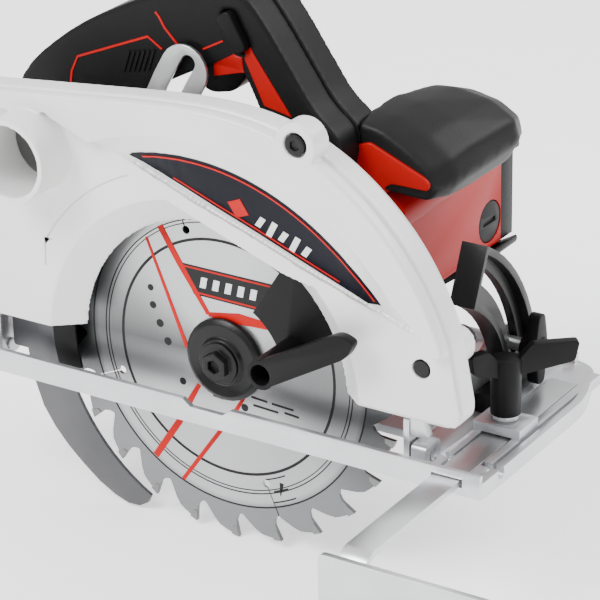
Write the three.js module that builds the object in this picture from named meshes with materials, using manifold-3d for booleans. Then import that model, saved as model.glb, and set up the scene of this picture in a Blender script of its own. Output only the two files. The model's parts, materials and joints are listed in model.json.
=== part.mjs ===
// Circular saw with a 190 mm blade, as separate solids in millimetres.
// +X is the cutting direction, +Y runs from the blade to the motor, +Z is up.
// Everything is laid out from the blade: x = 0 and y = 0 at the blade's outer face on its axis,
// z = 0 on the sole. The layout group then moves the origin onto the sole beside the blade.
import * as THREE from 'three';
import { mergeVertices } from 'three/addons/utils/BufferGeometryUtils.js';
import Module from 'manifold-3d';

const wasm = await Module();
wasm.setup();

// ---------------------------------------------------------------- driving dimensions
const GAP = 0.3;
const SOLE_SHIFT = 70;            // blade face to the origin on the sole, along Y

const BLADE_RADIUS = 95;
const BLADE_BODY = 1.6;           // thickness of the steel disc
const KERF = 2.2;                 // thickness over the carbide tips
const TOOTH_COUNT = 24;
const ARBOR_Z = 28.3;             // blade axis above the sole at full depth
const BORE_RADIUS = 15;
const FLANGE_RADIUS = 21;

const MODULE_SIZE = 1.25;         // gear module
const PINION_TEETH = 10;
const GEAR_TEETH = 40;
const GEAR_CENTRES = MODULE_SIZE * (PINION_TEETH + GEAR_TEETH) / 2;
const MOTOR_LEAN = 67 * Math.PI / 180;
const MOTOR_X = GEAR_CENTRES * Math.cos(MOTOR_LEAN);
const MOTOR_Z = ARBOR_Z + GEAR_CENTRES * Math.sin(MOTOR_LEAN);

const GUARD_NEAR = -28;           // outer face of the upper guard
const GUARD_FAR = 13;             // its gear-case face
const GUARD_WALL = 3;
const GUARD_RIM = 140;            // rim radius at the near face
const RECESS_FACE = -22;          // lower, set-back part of the near face
const SCREW_BOSS_X = 59;          // screw boss on the guard's rim
const SCREW_BOSS_Z = 156.6;
const PORT_X = -89;               // dust port
const PORT_Z = 126;
const KNIFE_BOLT_X = -116;
const KNIFE_BOLT_Z = 46;
const WINDOW_RADIUS = 73;
const WINDOW_LIP = -10.5;         // inner end of the window's funnel
const LOWER_RADIUS = 97.8;        // outer radius of the swinging guard
const LOWER_NEAR = -7;
const LOWER_FAR = 8.1;
const SHEET = 1.5;

const PIVOT_X = 119;              // depth pivot
const PIVOT_Z = 60;
const GUIDE_RADIUS = 184.5;       // depth slot, about the depth pivot
const GUIDE_HALF = 13;            // half the width of the slotted arc
const GUIDE_NEAR = 27;
const GUIDE_FAR = 29;
const BEVEL_Z = 6;                // bevel pivot above the sole
const BEVEL_SLOT = 86;            // bevel slot radius, about the bevel pivot
const BEVEL_REST = 15 * Math.PI / 180;

const BASE_REAR = -160;
const BASE_FRONT = 148;
const BASE_NEAR = -18.5;
const BASE_FAR = 127;
const SOLE_THICK = 4;
const RIM_HEIGHT = 8.2;
const RAIL_HEIGHT = 11.6;

const CASE_FAR = 45;              // open side of the gear case
const BARREL_NEAR = 49.4;         // motor housing
const BARREL_FAR = 160;
const BARREL_RADIUS = 44.6;
const BARREL_BORE = 41;
const HOUSING_FACE = 60;          // flat front of the motor housing
const HANDLE_NEAR = 32;
const HANDLE_MIDDLE = 50;
const HANDLE_FAR = 68;

// ---------------------------------------------------------------- finishes
const finish = (color, roughness, metalness) => ({ color, roughness, metalness });
const GUARD_PAINT = finish(0xd9d7d3, 0.42, 0.15);
const CAST_ALUMINIUM = finish(0xb9bbbd, 0.45, 0.85);
const ZINC = finish(0xc4c6c8, 0.35, 0.9);
const BLADE_STEEL = finish(0xb6b8ba, 0.32, 0.95);
const BLACK_STEEL = finish(0x1b1b1d, 0.5, 0.5);
const DARK_STEEL = finish(0x4a4b4d, 0.45, 0.8);
const BLACK_PLASTIC = finish(0x161617, 0.55, 0.0);
const SOFT_GRIP = finish(0x232326, 0.75, 0.0);
const RED_PLASTIC = finish(0xb3201c, 0.4, 0.0);
const COPPER = finish(0xb06a3c, 0.4, 0.9);
const CARBON = finish(0x2b2b2b, 0.8, 0.0);
const CREAM = finish(0xd8cfb8, 0.6, 0.0);

// ---------------------------------------------------------------- solids from geometry
const flip = (index) => {
  for (let i = 0; i < index.length; i += 3) {
    [index[i + 1], index[i + 2]] = [index[i + 2], index[i + 1]];
  }
  return index;
};

const signedVolume = (position, index) => {
  const a = new THREE.Vector3();
  const b = new THREE.Vector3();
  const c = new THREE.Vector3();
  let sum = 0;
  for (let i = 0; i < index.length; i += 3) {
    a.fromArray(position, 3 * index[i]);
    b.fromArray(position, 3 * index[i + 1]);
    c.fromArray(position, 3 * index[i + 2]);
    sum += a.dot(b.cross(c));
  }
  return sum / 6;
};

function solid(source) {
  const bare = source.clone();
  bare.deleteAttribute('normal');
  bare.deleteAttribute('uv');
  const merged = mergeVertices(bare, 1e-4);
  const vertProperties = new Float32Array(merged.attributes.position.array);
  const corners = Array.from(merged.index.array);
  const used = [];
  for (let i = 0; i < corners.length; i += 3) {
    const [a, b, c] = corners.slice(i, i + 3);
    if (a !== b && b !== c && c !== a) used.push(a, b, c);
  }
  const triVerts = new Uint32Array(used);
  if (signedVolume(vertProperties, triVerts) < 0) flip(triVerts);
  return new wasm.Manifold(new wasm.Mesh({ numProp: 3, vertProperties, triVerts }));
}

function geometryOf(body) {
  const mesh = body.getMesh();
  const geometry = new THREE.BufferGeometry();
  geometry.setAttribute('position', new THREE.BufferAttribute(mesh.vertProperties, 3));
  geometry.setIndex(new THREE.BufferAttribute(mesh.triVerts, 1));
  const faceted = geometry.toNonIndexed();
  faceted.computeVertexNormals();
  return faceted;
}

const join = (first, ...rest) => rest.reduce((sum, body) => sum.add(body), first);
const cut = (first, ...rest) => rest.reduce((left, body) => left.subtract(body), first);

// Shapes are drawn in (x, z), (y, z) or (x, y) and pushed along the third axis.
const CURVE_STEPS = 6;
const extruded = (shape, depth, curveSegments = CURVE_STEPS, steps = 1) =>
  new THREE.ExtrudeGeometry(shape, { depth, steps, curveSegments, bevelEnabled: false });
const plateY = (shape, y0, y1, segments, steps) =>
  extruded(shape, y1 - y0, segments, steps).rotateX(Math.PI / 2).translate(0, y1, 0);
const slabY = (shape, y0, y1, segments) => solid(plateY(shape, y0, y1, segments));
const ALONG_X = new THREE.Matrix4().makeBasis(
  new THREE.Vector3(0, 1, 0), new THREE.Vector3(0, 0, 1), new THREE.Vector3(1, 0, 0));
const slabX = (shape, x0, x1, segments) =>
  solid(extruded(shape, x1 - x0, segments).applyMatrix4(ALONG_X).translate(x0, 0, 0));
const slabZ = (shape, z0, z1, segments) =>
  solid(extruded(shape, z1 - z0, segments).translate(0, 0, z0));

// Round pieces get more sides as they grow.
const sidesFor = (radius) => {
  if (radius < 5) return 12;
  if (radius < 12) return 18;
  return radius < 30 ? 26 : 36;
};
const rodY = (radius, y0, y1, x = 0, z = 0, sides = sidesFor(radius)) =>
  solid(new THREE.CylinderGeometry(radius, radius, y1 - y0, sides).translate(x, (y0 + y1) / 2, z));
const coneY = (r0, r1, y0, y1, x = 0, z = 0, sides = 44) =>
  solid(new THREE.CylinderGeometry(r1, r0, y1 - y0, sides).translate(x, (y0 + y1) / 2, z));
const rodX = (radius, x0, x1, y, z, sides = sidesFor(radius)) =>
  solid(new THREE.CylinderGeometry(radius, radius, x1 - x0, sides)
    .rotateZ(-Math.PI / 2).translate((x0 + x1) / 2, y, z));
const rodZ = (radius, z0, z1, x, y, sides = sidesFor(radius)) =>
  solid(new THREE.CylinderGeometry(radius, radius, z1 - z0, sides)
    .rotateX(Math.PI / 2).translate(x, y, (z0 + z1) / 2));
const block = (x0, x1, y0, y1, z0, z1) =>
  solid(new THREE.BoxGeometry(x1 - x0, y1 - y0, z1 - z0)
    .translate((x0 + x1) / 2, (y0 + y1) / 2, (z0 + z1) / 2));
// A ring or stepped disc about an axis along Y, from (radius, y) corners.
const turned = (profile, x = 0, z = 0, sides = 24) => {
  const points = [...profile, profile[0]].map(([r, y]) => new THREE.Vector2(r, y));
  return solid(new THREE.LatheGeometry(points, sides).translate(x, 0, z));
};

const polygon = (points) => new THREE.Shape(points.map(([u, v]) => new THREE.Vector2(u, v)));
// A polygon whose corners are rounded; a point may carry its own radius as a third number.
function rounded(points, radius) {
  const shape = new THREE.Shape();
  const count = points.length;
  points.forEach((point, i) => {
    const here = new THREE.Vector2(point[0], point[1]);
    const before = new THREE.Vector2(...points[(i + count - 1) % count].slice(0, 2));
    const after = new THREE.Vector2(...points[(i + 1) % count].slice(0, 2));
    const shortest = Math.min(here.distanceTo(before), here.distanceTo(after));
    const reach = Math.min(point[2] ?? radius, 0.45 * shortest);
    const start = here.clone().add(before.sub(here).setLength(reach));
    const end = here.clone().add(after.sub(here).setLength(reach));
    if (i === 0) shape.moveTo(start.x, start.y);
    else shape.lineTo(start.x, start.y);
    if (reach > 0) shape.quadraticCurveTo(here.x, here.y, end.x, end.y);
  });
  shape.closePath();
  return shape;
}
const degrees = (angle) => angle * Math.PI / 180;
const polar = (u, v, radius, angle) => [u + radius * Math.cos(angle), v + radius * Math.sin(angle)];
// A band between two radii about (u, v), with square or round ends.
function band(u, v, inner, outer, from, to, roundEnds = false) {
  const shape = new THREE.Shape();
  shape.absarc(u, v, outer, from, to, false);
  const half = (outer - inner) / 2;
  if (roundEnds) {
    const [eu, ev] = polar(u, v, inner + half, to);
    shape.absarc(eu, ev, half, to, to + Math.PI, false);
  }
  shape.absarc(u, v, inner, to, from, true);
  if (roundEnds) {
    const [su, sv] = polar(u, v, inner + half, from);
    shape.absarc(su, sv, half, from + Math.PI, from + 2 * Math.PI, false);
  }
  shape.closePath();
  return shape;
}
// Straight-sided teeth on a wheel centred on (x, z); phase turns the wheel.
function toothed(x, z, teeth, phase = 0) {
  const pitch = MODULE_SIZE * teeth / 2;
  const tip = pitch + MODULE_SIZE;
  const root = pitch - 1.2 * MODULE_SIZE;
  const step = 2 * Math.PI / teeth;
  const points = [];
  for (let i = 0; i < teeth; i += 1) {
    const middle = phase + i * step;
    points.push(polar(x, z, root, middle - 0.3 * step));
    points.push(polar(x, z, tip, middle - 0.11 * step));
    points.push(polar(x, z, tip, middle + 0.11 * step));
    points.push(polar(x, z, root, middle + 0.3 * step));
  }
  return polygon(points);
}

// ---------------------------------------------------------------- the saw as a scene graph
const saw = new THREE.Group();
const layout = new THREE.Group();
layout.position.set(0, -SOLE_SHIFT, 0);
saw.add(layout);

function piece(name, body, look) {
  const mesh = new THREE.Mesh(geometryOf(body), new THREE.MeshStandardMaterial(look));
  mesh.name = name;
  layout.add(mesh);
}

// ---------------------------------------------------------------- base plate
const SLOT_REAR = -134;
const SLOT_FRONT = 104.6;
const SLOT_NEAR = -15.8;
const SLOT_FAR = 18.5;
const CUTOUT_HALF = 33;           // room for the gear case, along X
const CUTOUT_FAR = 61;
const LUG_TOP = 12.4;
const FENCE_X0 = 123;
const FENCE_X1 = 137;
const FENCE_Z0 = 4.6;
const FENCE_Z1 = 7.6;
const SCREW_X = 130;
const SCREW_Y = 37;
const BRIDGE_TOP = 13;

function basePlate() {
  const outline = rounded([[BASE_REAR, BASE_NEAR, 3], [BASE_FRONT, BASE_NEAR, 3],
    [BASE_FRONT, 84, 12], [132, BASE_FAR, 14], [BASE_REAR, BASE_FAR, 10]], 6);
  const sheet = slabZ(outline, 0, RIM_HEIGHT);
  const pocket = slabZ(rounded([[BASE_REAR + 4, SLOT_NEAR - 1, 2], [BASE_FRONT - 4, SLOT_NEAR - 1, 2],
    [BASE_FRONT - 4, 83, 10], [129.5, BASE_FAR - 4, 11], [BASE_REAR + 4, BASE_FAR - 4, 7]], 4),
  SOLE_THICK, RIM_HEIGHT + 1);
  const rail = block(BASE_REAR + 1, BASE_FRONT - 1, BASE_NEAR, SLOT_NEAR, 0.5, RAIL_HEIGHT);
  const slot = slabZ(rounded([[SLOT_REAR, SLOT_NEAR], [SLOT_FRONT, SLOT_NEAR],
    [SLOT_FRONT, SLOT_FAR], [SLOT_REAR, SLOT_FAR]], 3), -1, 20, 4);
  const cutout = block(-CUTOUT_HALF, CUTOUT_HALF, 0, CUTOUT_FAR, -1, 20);
  const ribs = [FENCE_X0 - 5.2, FENCE_X1 + 1].map((x) =>
    block(x, x + 4.2, SLOT_NEAR - 1, 110, 3, RIM_HEIGHT));
  const crossRibs = [-110, -70, 60].map((x) => block(x, x + 3, 66, BASE_FAR - 3, 3, 7));
  const bridge = cut(block(FENCE_X0 - 5.2, FENCE_X1 + 5.2, 28, 46, 3, BRIDGE_TOP),
    block(FENCE_X0 - 1, FENCE_X1 + 1, 20, 56, SOLE_THICK, FENCE_Z1 + 1));
  const lug = (x) => slabX(rounded([[-7, 0.5], [7, 0.5], [7, LUG_TOP], [-7, LUG_TOP]], 3), x, x + 7.6, 4);
  const boltRelief = slabY(polygon([[-14, 12], [-9, 8.2], [9, 8.2], [14, 12]]), BASE_NEAR - 1, SLOT_NEAR + 1);
  const notch = block(FENCE_X0 - 1, FENCE_X1 + 1, BASE_NEAR - 5, 28.5, SOLE_THICK, FENCE_Z1 + 0.6);
  const farNotch = block(FENCE_X0 - 1, FENCE_X1 + 1, 45.5, BASE_FAR + 5, SOLE_THICK, RIM_HEIGHT + 2);
  let plate = join(cut(sheet, pocket), rail, ...ribs, ...crossRibs, bridge);
  plate = cut(plate, slot, cutout, notch, farNotch, boltRelief);
  plate = join(plate, lug(SLOT_FRONT + GAP), lug(SLOT_REAR - 7.9));
  return cut(plate, rodX(3, -170, 200, 0, BEVEL_Z), rodZ(4.3, 8, 20, SCREW_X, SCREW_Y));
}
piece('base_plate', basePlate(), CAST_ALUMINIUM);

// The bevel quadrant stands on the plate behind the front bracket: a slotted arc with a raised edge.
const QUADRANT_X0 = 104.9;
const QUADRANT_X1 = 109.4;
const QUADRANT_OUTER = 98.5;
const QUADRANT_INNER = 69;
const QUADRANT_TOP = 66 * Math.PI / 180;
function bevelQuadrant() {
  const arcPlate = (inner, outer, from, x1) =>
    slabX(band(0, BEVEL_Z, inner, outer, from, QUADRANT_TOP), QUADRANT_X0, x1, 6);
  const arc = arcPlate(QUADRANT_INNER, QUADRANT_OUTER, degrees(2), QUADRANT_X1);
  const edge = arcPlate(QUADRANT_OUTER - 3.5, QUADRANT_OUTER, degrees(2), QUADRANT_X1 + 5);
  const innerEdge = arcPlate(QUADRANT_INNER, QUADRANT_INNER + 3.5, degrees(2), QUADRANT_X1 + 5);
  const endWall = arcPlate(QUADRANT_INNER, QUADRANT_OUTER, QUADRANT_TOP - degrees(1.5), QUADRANT_X1 + 8.6);
  const foot = block(QUADRANT_X0, QUADRANT_X1 + 5, 52, 103, SOLE_THICK + GAP, 14);
  const slot = slabX(band(0, BEVEL_Z, BEVEL_SLOT - 3.9, BEVEL_SLOT + 3.9, BEVEL_REST - degrees(1),
    BEVEL_REST + degrees(46), true), QUADRANT_X0 - 1, QUADRANT_X1 + 1, 5);
  const below = block(90, 130, -10, 130, -20, SOLE_THICK + GAP);
  return cut(join(arc, edge, innerEdge, endWall, foot), slot, below);
}
piece('bevel_quadrant', bevelQuadrant(), BLACK_STEEL);
piece('front_bevel_pin', rodX(2.7, 100, 112.8, 0, BEVEL_Z), ZINC);
piece('rear_bevel_pin', rodX(2.7, -142, -129, 0, BEVEL_Z), ZINC);

// ---------------------------------------------------------------- tilting frame
const BRACKET_X0 = 101;
const BRACKET_X1 = SLOT_FRONT - 0.6;
const REAR_BRACKET_X0 = SLOT_REAR + 0.8;
const REAR_BRACKET_X1 = SLOT_REAR + 3.8;
const STRIP_Z0 = RIM_HEIGHT + 0.4;
const STRIP_Z1 = STRIP_Z0 + 2.8;
const [BOLT_Y, BOLT_Z] = polar(0, BEVEL_Z, BEVEL_SLOT, BEVEL_REST);
function tiltFrame() {
  const front = slabX(rounded([[-7, 0.5], [7, 0.5], [11, 10.5], [60, 10.5], [BOLT_Y + 6, BOLT_Z - 9],
    [BOLT_Y + 8, BOLT_Z + 6], [BOLT_Y - 4, BOLT_Z + 9], [50, 24], [6, 26], [-7, 26]], 3),
  BRACKET_X0, BRACKET_X1, 3);
  const rear = slabX(rounded([[-7, 0.5], [7, 0.5], [12, STRIP_Z0], [64, STRIP_Z0], [64, 24],
    [-7, 24]], 3), REAR_BRACKET_X0, REAR_BRACKET_X1, 3);
  const strip = block(REAR_BRACKET_X0, BRACKET_X1, 53, 64, STRIP_Z0, STRIP_Z1);
  const ear = slabY(rounded([[PIVOT_X + 8, PIVOT_Z + 2, 6], [PIVOT_X - 2, PIVOT_Z + 9, 6],
    [PIVOT_X - 11, PIVOT_Z - 4, 6], [BRACKET_X0 + 2, 32, 4], [BRACKET_X0, 16.5, 0], [114, 16.5, 2],
    [109, 31, 4], [PIVOT_X + 2, PIVOT_Z - 12, 4]], 4), -6, -2, 5);
  const frame = join(front, rear, strip, ear);
  return cut(frame, rodX(3, -170, 200, 0, BEVEL_Z), rodX(3.9, 90, 110, BOLT_Y, BOLT_Z),
    rodY(4.3, -10, 5, PIVOT_X, PIVOT_Z), block(99, 104.5, 14, 45, -1, 10.5));
}
piece('tilt_frame', tiltFrame(), ZINC);

const GUIDE_TOP = 148.2;
const GUIDE_LOW = 187;
function depthGuide() {
  const arc = slabY(band(PIVOT_X, PIVOT_Z, GUIDE_RADIUS - GUIDE_HALF, GUIDE_RADIUS + GUIDE_HALF,
    degrees(GUIDE_TOP), degrees(GUIDE_LOW), true), GUIDE_NEAR, GUIDE_FAR, 6);
  const foot = slabY(rounded([[REAR_BRACKET_X1 + GAP, 12.4, 0], [-60, 12.4], [-60, 46], [-88, 46],
    [-94, 24], [REAR_BRACKET_X1 + GAP, 24, 0]], 3), GUIDE_NEAR, GUIDE_FAR, 3);
  const slot = slabY(band(PIVOT_X, PIVOT_Z, GUIDE_RADIUS - 3.9, GUIDE_RADIUS + 3.9,
    degrees(GUIDE_TOP - 1.6), degrees(GUIDE_LOW - 7), true), GUIDE_NEAR - 1, GUIDE_FAR + 1, 6);
  return cut(join(arc, foot), slot, block(-140, 0, 20, 40, -60, 12.4));
}
piece('depth_guide', depthGuide(), ZINC);

function bevelBolt() {
  const shank = rodX(3.4, BRACKET_X0 - 0.5, 127, BOLT_Y, BOLT_Z);
  return join(shank, rodX(6.5, BRACKET_X0 - 5, BRACKET_X0 - GAP, BOLT_Y, BOLT_Z, 6));
}
piece('bevel_bolt', bevelBolt(), ZINC);

function bevelWingNut() {
  const hub = rodX(6, QUADRANT_X1 + 5.4, QUADRANT_X1 + 16, BOLT_Y, BOLT_Z);
  const wing = (up) => slabX(rounded([[BOLT_Y - 6, BOLT_Z + up * 3], [BOLT_Y - 3, BOLT_Z + up * 18],
    [BOLT_Y + 3, BOLT_Z + up * 18], [BOLT_Y + 6, BOLT_Z + up * 3]], 2.5),
  QUADRANT_X1 + 9, QUADRANT_X1 + 15, 3);
  return cut(join(hub, wing(1), wing(-1)), rodX(3.7, 100, 140, BOLT_Y, BOLT_Z));
}
piece('bevel_wing_nut', bevelWingNut(), BLACK_PLASTIC);

// ---------------------------------------------------------------- rip fence and its screw
function ripFence() {
  const bar = block(FENCE_X0, FENCE_X1, -92, 96, FENCE_Z0, FENCE_Z1);
  const bend = slabX(band(-92, -3, FENCE_Z0 + 3, FENCE_Z1 + 3, degrees(90), degrees(180)),
    FENCE_X0, FENCE_X1, 6);
  const leg = block(FENCE_X0, FENCE_X1, -92 - FENCE_Z1 - 3, -92 - FENCE_Z0 - 3, -22, -2.9);
  const blade = slabY(rounded([[116, 6.5, 3], [238, 6.5, 6], [238, -24, 6], [116, -24, 3]], 3),
    -105.6, -102.5, 3);
  return join(bar, bend, leg, blade);
}
piece('rip_fence', ripFence(), ZINC);

piece('fence_shoe', slabX(rounded([[-108.8, -27], [-102.8, -27], [-102.8, -24.3], [-106, -24.3],
  [-106, -8], [-108.8, -8]], 1), 150, 232, 3), BLACK_PLASTIC);

function fenceBolt() {
  return join(rodZ(4, FENCE_Z1 + GAP, 24, SCREW_X, SCREW_Y), rodZ(6.2, 14, 16.2, SCREW_X, SCREW_Y));
}
piece('fence_bolt', fenceBolt(), ZINC);

function fenceWingScrew() {
  const hub = rodZ(7.2, 16.5, 44, SCREW_X, SCREW_Y);
  const wing = (heading, reach) => {
    const paddle = solid(extruded(rounded([[3, 40], [reach, 46], [reach + 2, 56], [12, 56], [3, 46]], 2),
      4.4, 3).rotateX(Math.PI / 2).translate(0, 2.2, 0));
    return paddle.rotate([0, 0, heading]).translate([SCREW_X, SCREW_Y, -5]);
  };
  const body = join(hub, wing(40, 32), wing(248, 20));
  return cut(body, rodZ(4.3, 10, 25, SCREW_X, SCREW_Y));
}
piece('fence_wing_screw', fenceWingScrew(), BLACK_PLASTIC);

// ---------------------------------------------------------------- upper guard
// Outline at the near face: an arc about the blade in front, a full curve over the top, then a
// straight edge down to the rear. The front foot ends higher than the rear one.
const ARC_TOP = degrees(52);
const FRONT_ANGLE = degrees(19);
const FOOT_FRONT = 32.4;
const FOOT_REAR = 33.5;
const FRONT_FOOT_TOP = 70;
const FOOT_CHAMFER = 2.8;
function guardOutline(inset) {
  const rim = GUARD_RIM - inset;
  const shape = new THREE.Shape();
  shape.moveTo(66 + inset, FOOT_FRONT);
  shape.lineTo(130 - inset, FOOT_FRONT);
  shape.quadraticCurveTo(139 - inset, FOOT_FRONT, 138.4 - inset, 42);
  shape.lineTo(...polar(0, ARBOR_Z, rim, FRONT_ANGLE));
  shape.absarc(0, ARBOR_Z, rim, FRONT_ANGLE, ARC_TOP, false);
  shape.bezierCurveTo(50.7, 166.3 - inset, 14.8, 165.1 - inset, -35, 160.2 - inset);
  shape.lineTo(-128, 150.5 - inset);
  shape.quadraticCurveTo(-150 + inset, 148 - inset, -152 + inset, 128);
  shape.lineTo(-152 + inset, 46);
  shape.quadraticCurveTo(-152 + inset, FOOT_REAR, -140 + inset, FOOT_REAR);
  shape.lineTo(-68 - inset, FOOT_REAR);
  shape.closePath();
  return shape;
}
// How far the rim draws in towards the far side, as a scale about the blade axis.
const RIM_PROFILE = [[GUARD_NEAR, 1], [-21.5, 1], [-20, 0.983], [-17.5, 0.997], [-7, 0.997],
  [0, 0.964], [6, 0.931], [GUARD_FAR, 0.893]];
function rimScale(y) {
  const last = RIM_PROFILE.length - 1;
  if (y <= RIM_PROFILE[0][0]) return RIM_PROFILE[0][1];
  if (y >= RIM_PROFILE[last][0]) return RIM_PROFILE[last][1];
  const k = RIM_PROFILE.findIndex(([edge]) => edge > y);
  const [y0, s0] = RIM_PROFILE[k - 1];
  const [y1, s1] = RIM_PROFILE[k];
  return s0 + (s1 - s0) * (y - y0) / (y1 - y0);
}
// A stack of plates whose outline follows the rim profile between stations.
function shapedDrum(inset, stations, segments) {
  const drum = plateY(guardOutline(inset), 0, 1, segments, stations.length - 1);
  const position = drum.attributes.position;
  for (let i = 0; i < position.count; i += 1) {
    const y = stations[Math.round(position.getY(i) * (stations.length - 1))];
    const above = position.getZ(i) - ARBOR_Z;
    const lift = above > FOOT_REAR - ARBOR_Z + 1 ? rimScale(y) : 1;
    position.setXYZ(i, position.getX(i) * rimScale(y), y, ARBOR_Z + above * lift);
  }
  return solid(drum);
}
// The ridge across the near face: everything below it is set back.
const ridgeBelow = (rise) => polygon([[-96, 161 + rise], [-88, 153 + rise], [-76, 143.6 + rise],
  [-59, 134.8 + rise], [-31, 123.8 + rise], [-3.7, 114.9 + rise], [23, 107.2 + rise], [50, 100 + rise],
  [79, 91 + rise], [107, 84 + rise], [126.5, 72 + rise], [160, FRONT_FOOT_TOP + rise], [160, 20],
  [-170, 20], [-170, 161 + rise]]);
const openBelow = (y0, y1) => join(block(-170, 60, y0, y1, -90, FOOT_REAR + 0.2),
  block(59, 170, y0, y1, -90, FOOT_FRONT + 0.2));
function upperGuard() {
  const roomNear = GUARD_NEAR + GUARD_WALL;
  const roomFar = GUARD_FAR - GUARD_WALL;
  const shell = shapedDrum(0, RIM_PROFILE.map(([y]) => y), 7);
  const recessOutline = join(slabY(guardOutline(9), GUARD_NEAR - 6, RECESS_FACE, 8),
    block(60, 150, GUARD_NEAR - 6, RECESS_FACE, 20, FRONT_FOOT_TOP))
    .intersect(slabY(ridgeBelow(0), GUARD_NEAR - 6, RECESS_FACE));
  const roomAbove = shapedDrum(GUARD_WALL + 0.4, [roomNear, -7, 0, roomFar], 7);
  const backFill = slabY(ridgeBelow(3), GUARD_NEAR, RECESS_FACE + GUARD_WALL);
  const room = cut(roomAbove, backFill);
  const funnel = coneY(88, WINDOW_RADIUS, RECESS_FACE - 0.2, WINDOW_LIP, 0, ARBOR_Z);
  const funnelSkin = coneY(91, WINDOW_RADIUS + 3, RECESS_FACE, WINDOW_LIP, 0, ARBOR_Z);
  const lip = cut(funnelSkin, openBelow(-40, 20));
  const window = join(funnel, rodY(WINDOW_RADIUS, -40, -6, 0, ARBOR_Z, 44));
  const portTube = rodY(20.5, -45, RECESS_FACE + 1, PORT_X, PORT_Z);
  const portHole = rodY(17.5, -50, 0, PORT_X, PORT_Z);
  const screwBoss = rodY(10.5, GUARD_NEAR, -17, SCREW_BOSS_X, SCREW_BOSS_Z);
  const screwSeat = rodY(5.6, GUARD_NEAR - 5, GUARD_NEAR + 3, SCREW_BOSS_X, SCREW_BOSS_Z);
  const pivotBoss = rodY(9, RECESS_FACE, -8, PIVOT_X, PIVOT_Z);
  const pivotBossFar = rodY(9, 3, GUARD_FAR - 1, PIVOT_X, PIVOT_Z);
  const lobe = slabY(rounded([[-34, 42], [-30, 1, 12], [30, 1, 12], [34, 42]], 2), roomFar, GUARD_FAR, 6);
  const bareLip = cut(lip, window);
  let guard = cut(shell, recessOutline, room);
  guard = cut(join(guard, bareLip), window);
  guard = join(guard, portTube, screwBoss, pivotBoss, pivotBossFar, lobe);
  const knifeSlot = block(-128, -92, -12, 9.5, 0, 36);
  const footChamfer = slabX(polygon([[RECESS_FACE - 1, FOOT_FRONT - 1],
    [RECESS_FACE - 1, FOOT_FRONT + FOOT_CHAMFER + 1],
    [RECESS_FACE + FOOT_CHAMFER + 1, FOOT_FRONT - 1]]), 60, 150);
  return cut(guard, portHole, footChamfer, openBelow(-40, roomFar - 0.01), knifeSlot,
    rodY(18.5, 0, 20, 0, ARBOR_Z), rodY(4.3, -40, 20, PIVOT_X, PIVOT_Z),
    rodY(3.3, -40, 20, SCREW_BOSS_X, SCREW_BOSS_Z), screwSeat);
}
piece('upper_guard', upperGuard(), GUARD_PAINT);
piece('depth_pivot_pin', join(rodY(4, -21.8, 15.5, PIVOT_X, PIVOT_Z),
  rodY(6.5, GUARD_FAR + GAP, 17, PIVOT_X, PIVOT_Z)), ZINC);
piece('guard_screw', cut(join(rodY(5, GUARD_NEAR - 0.6, GUARD_NEAR + 2.7, SCREW_BOSS_X, SCREW_BOSS_Z),
  rodY(3, GUARD_NEAR, -12, SCREW_BOSS_X, SCREW_BOSS_Z)),
rodY(2.6, GUARD_NEAR - 3, GUARD_NEAR + 0.8, SCREW_BOSS_X, SCREW_BOSS_Z, 6)), BLACK_STEEL);

// ---------------------------------------------------------------- riving knife
const KNIFE_NEAR = -0.2;
const KNIFE_FAR = 1.8;
const KNIFE_INNER = 98.6;
const KNIFE_BACK = [[-119, 22], [-119.5, 8], [-117.5, -7], [-111.5, -24], [-105, -34], [-97, -43], [-88, -51],
  [-79, -58], [-70, -63], [-62, -65.8], [-55, -65.5], [-50, -62.5]];
function rivingKnife() {
  const front = Array.from({ length: 15 }, (_, i) =>
    polar(0, ARBOR_Z, KNIFE_INNER, degrees(241 - 4 * i)));
  const blade = slabY(polygon([...KNIFE_BACK, ...front]), KNIFE_NEAR, KNIFE_FAR);
  const root = slabY(rounded([[-128, 6, 2], [-101, 6, 2], [-100.5, 40, 2], [-108, 58, 6],
    [-128, 58, 6]], 4), KNIFE_NEAR, KNIFE_FAR, 5);
  return cut(join(blade, root), rodY(3.2, -5, 5, KNIFE_BOLT_X, KNIFE_BOLT_Z));
}
piece('riving_knife', rivingKnife(), DARK_STEEL);
piece('knife_clamp', cut(slabY(rounded([[-126, 33], [-106, 33], [-106, 57], [-126, 57]], 4),
  KNIFE_FAR + GAP, GUARD_FAR - GUARD_WALL - GAP, 4), rodY(3.2, 0, 12, KNIFE_BOLT_X, KNIFE_BOLT_Z)),
CAST_ALUMINIUM);
piece('knife_screw', join(rodY(2.9, KNIFE_NEAR - 1, 9, KNIFE_BOLT_X, KNIFE_BOLT_Z),
  rodY(6, KNIFE_NEAR - 4.6, KNIFE_NEAR - GAP, KNIFE_BOLT_X, KNIFE_BOLT_Z, 6)), ZINC);

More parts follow.
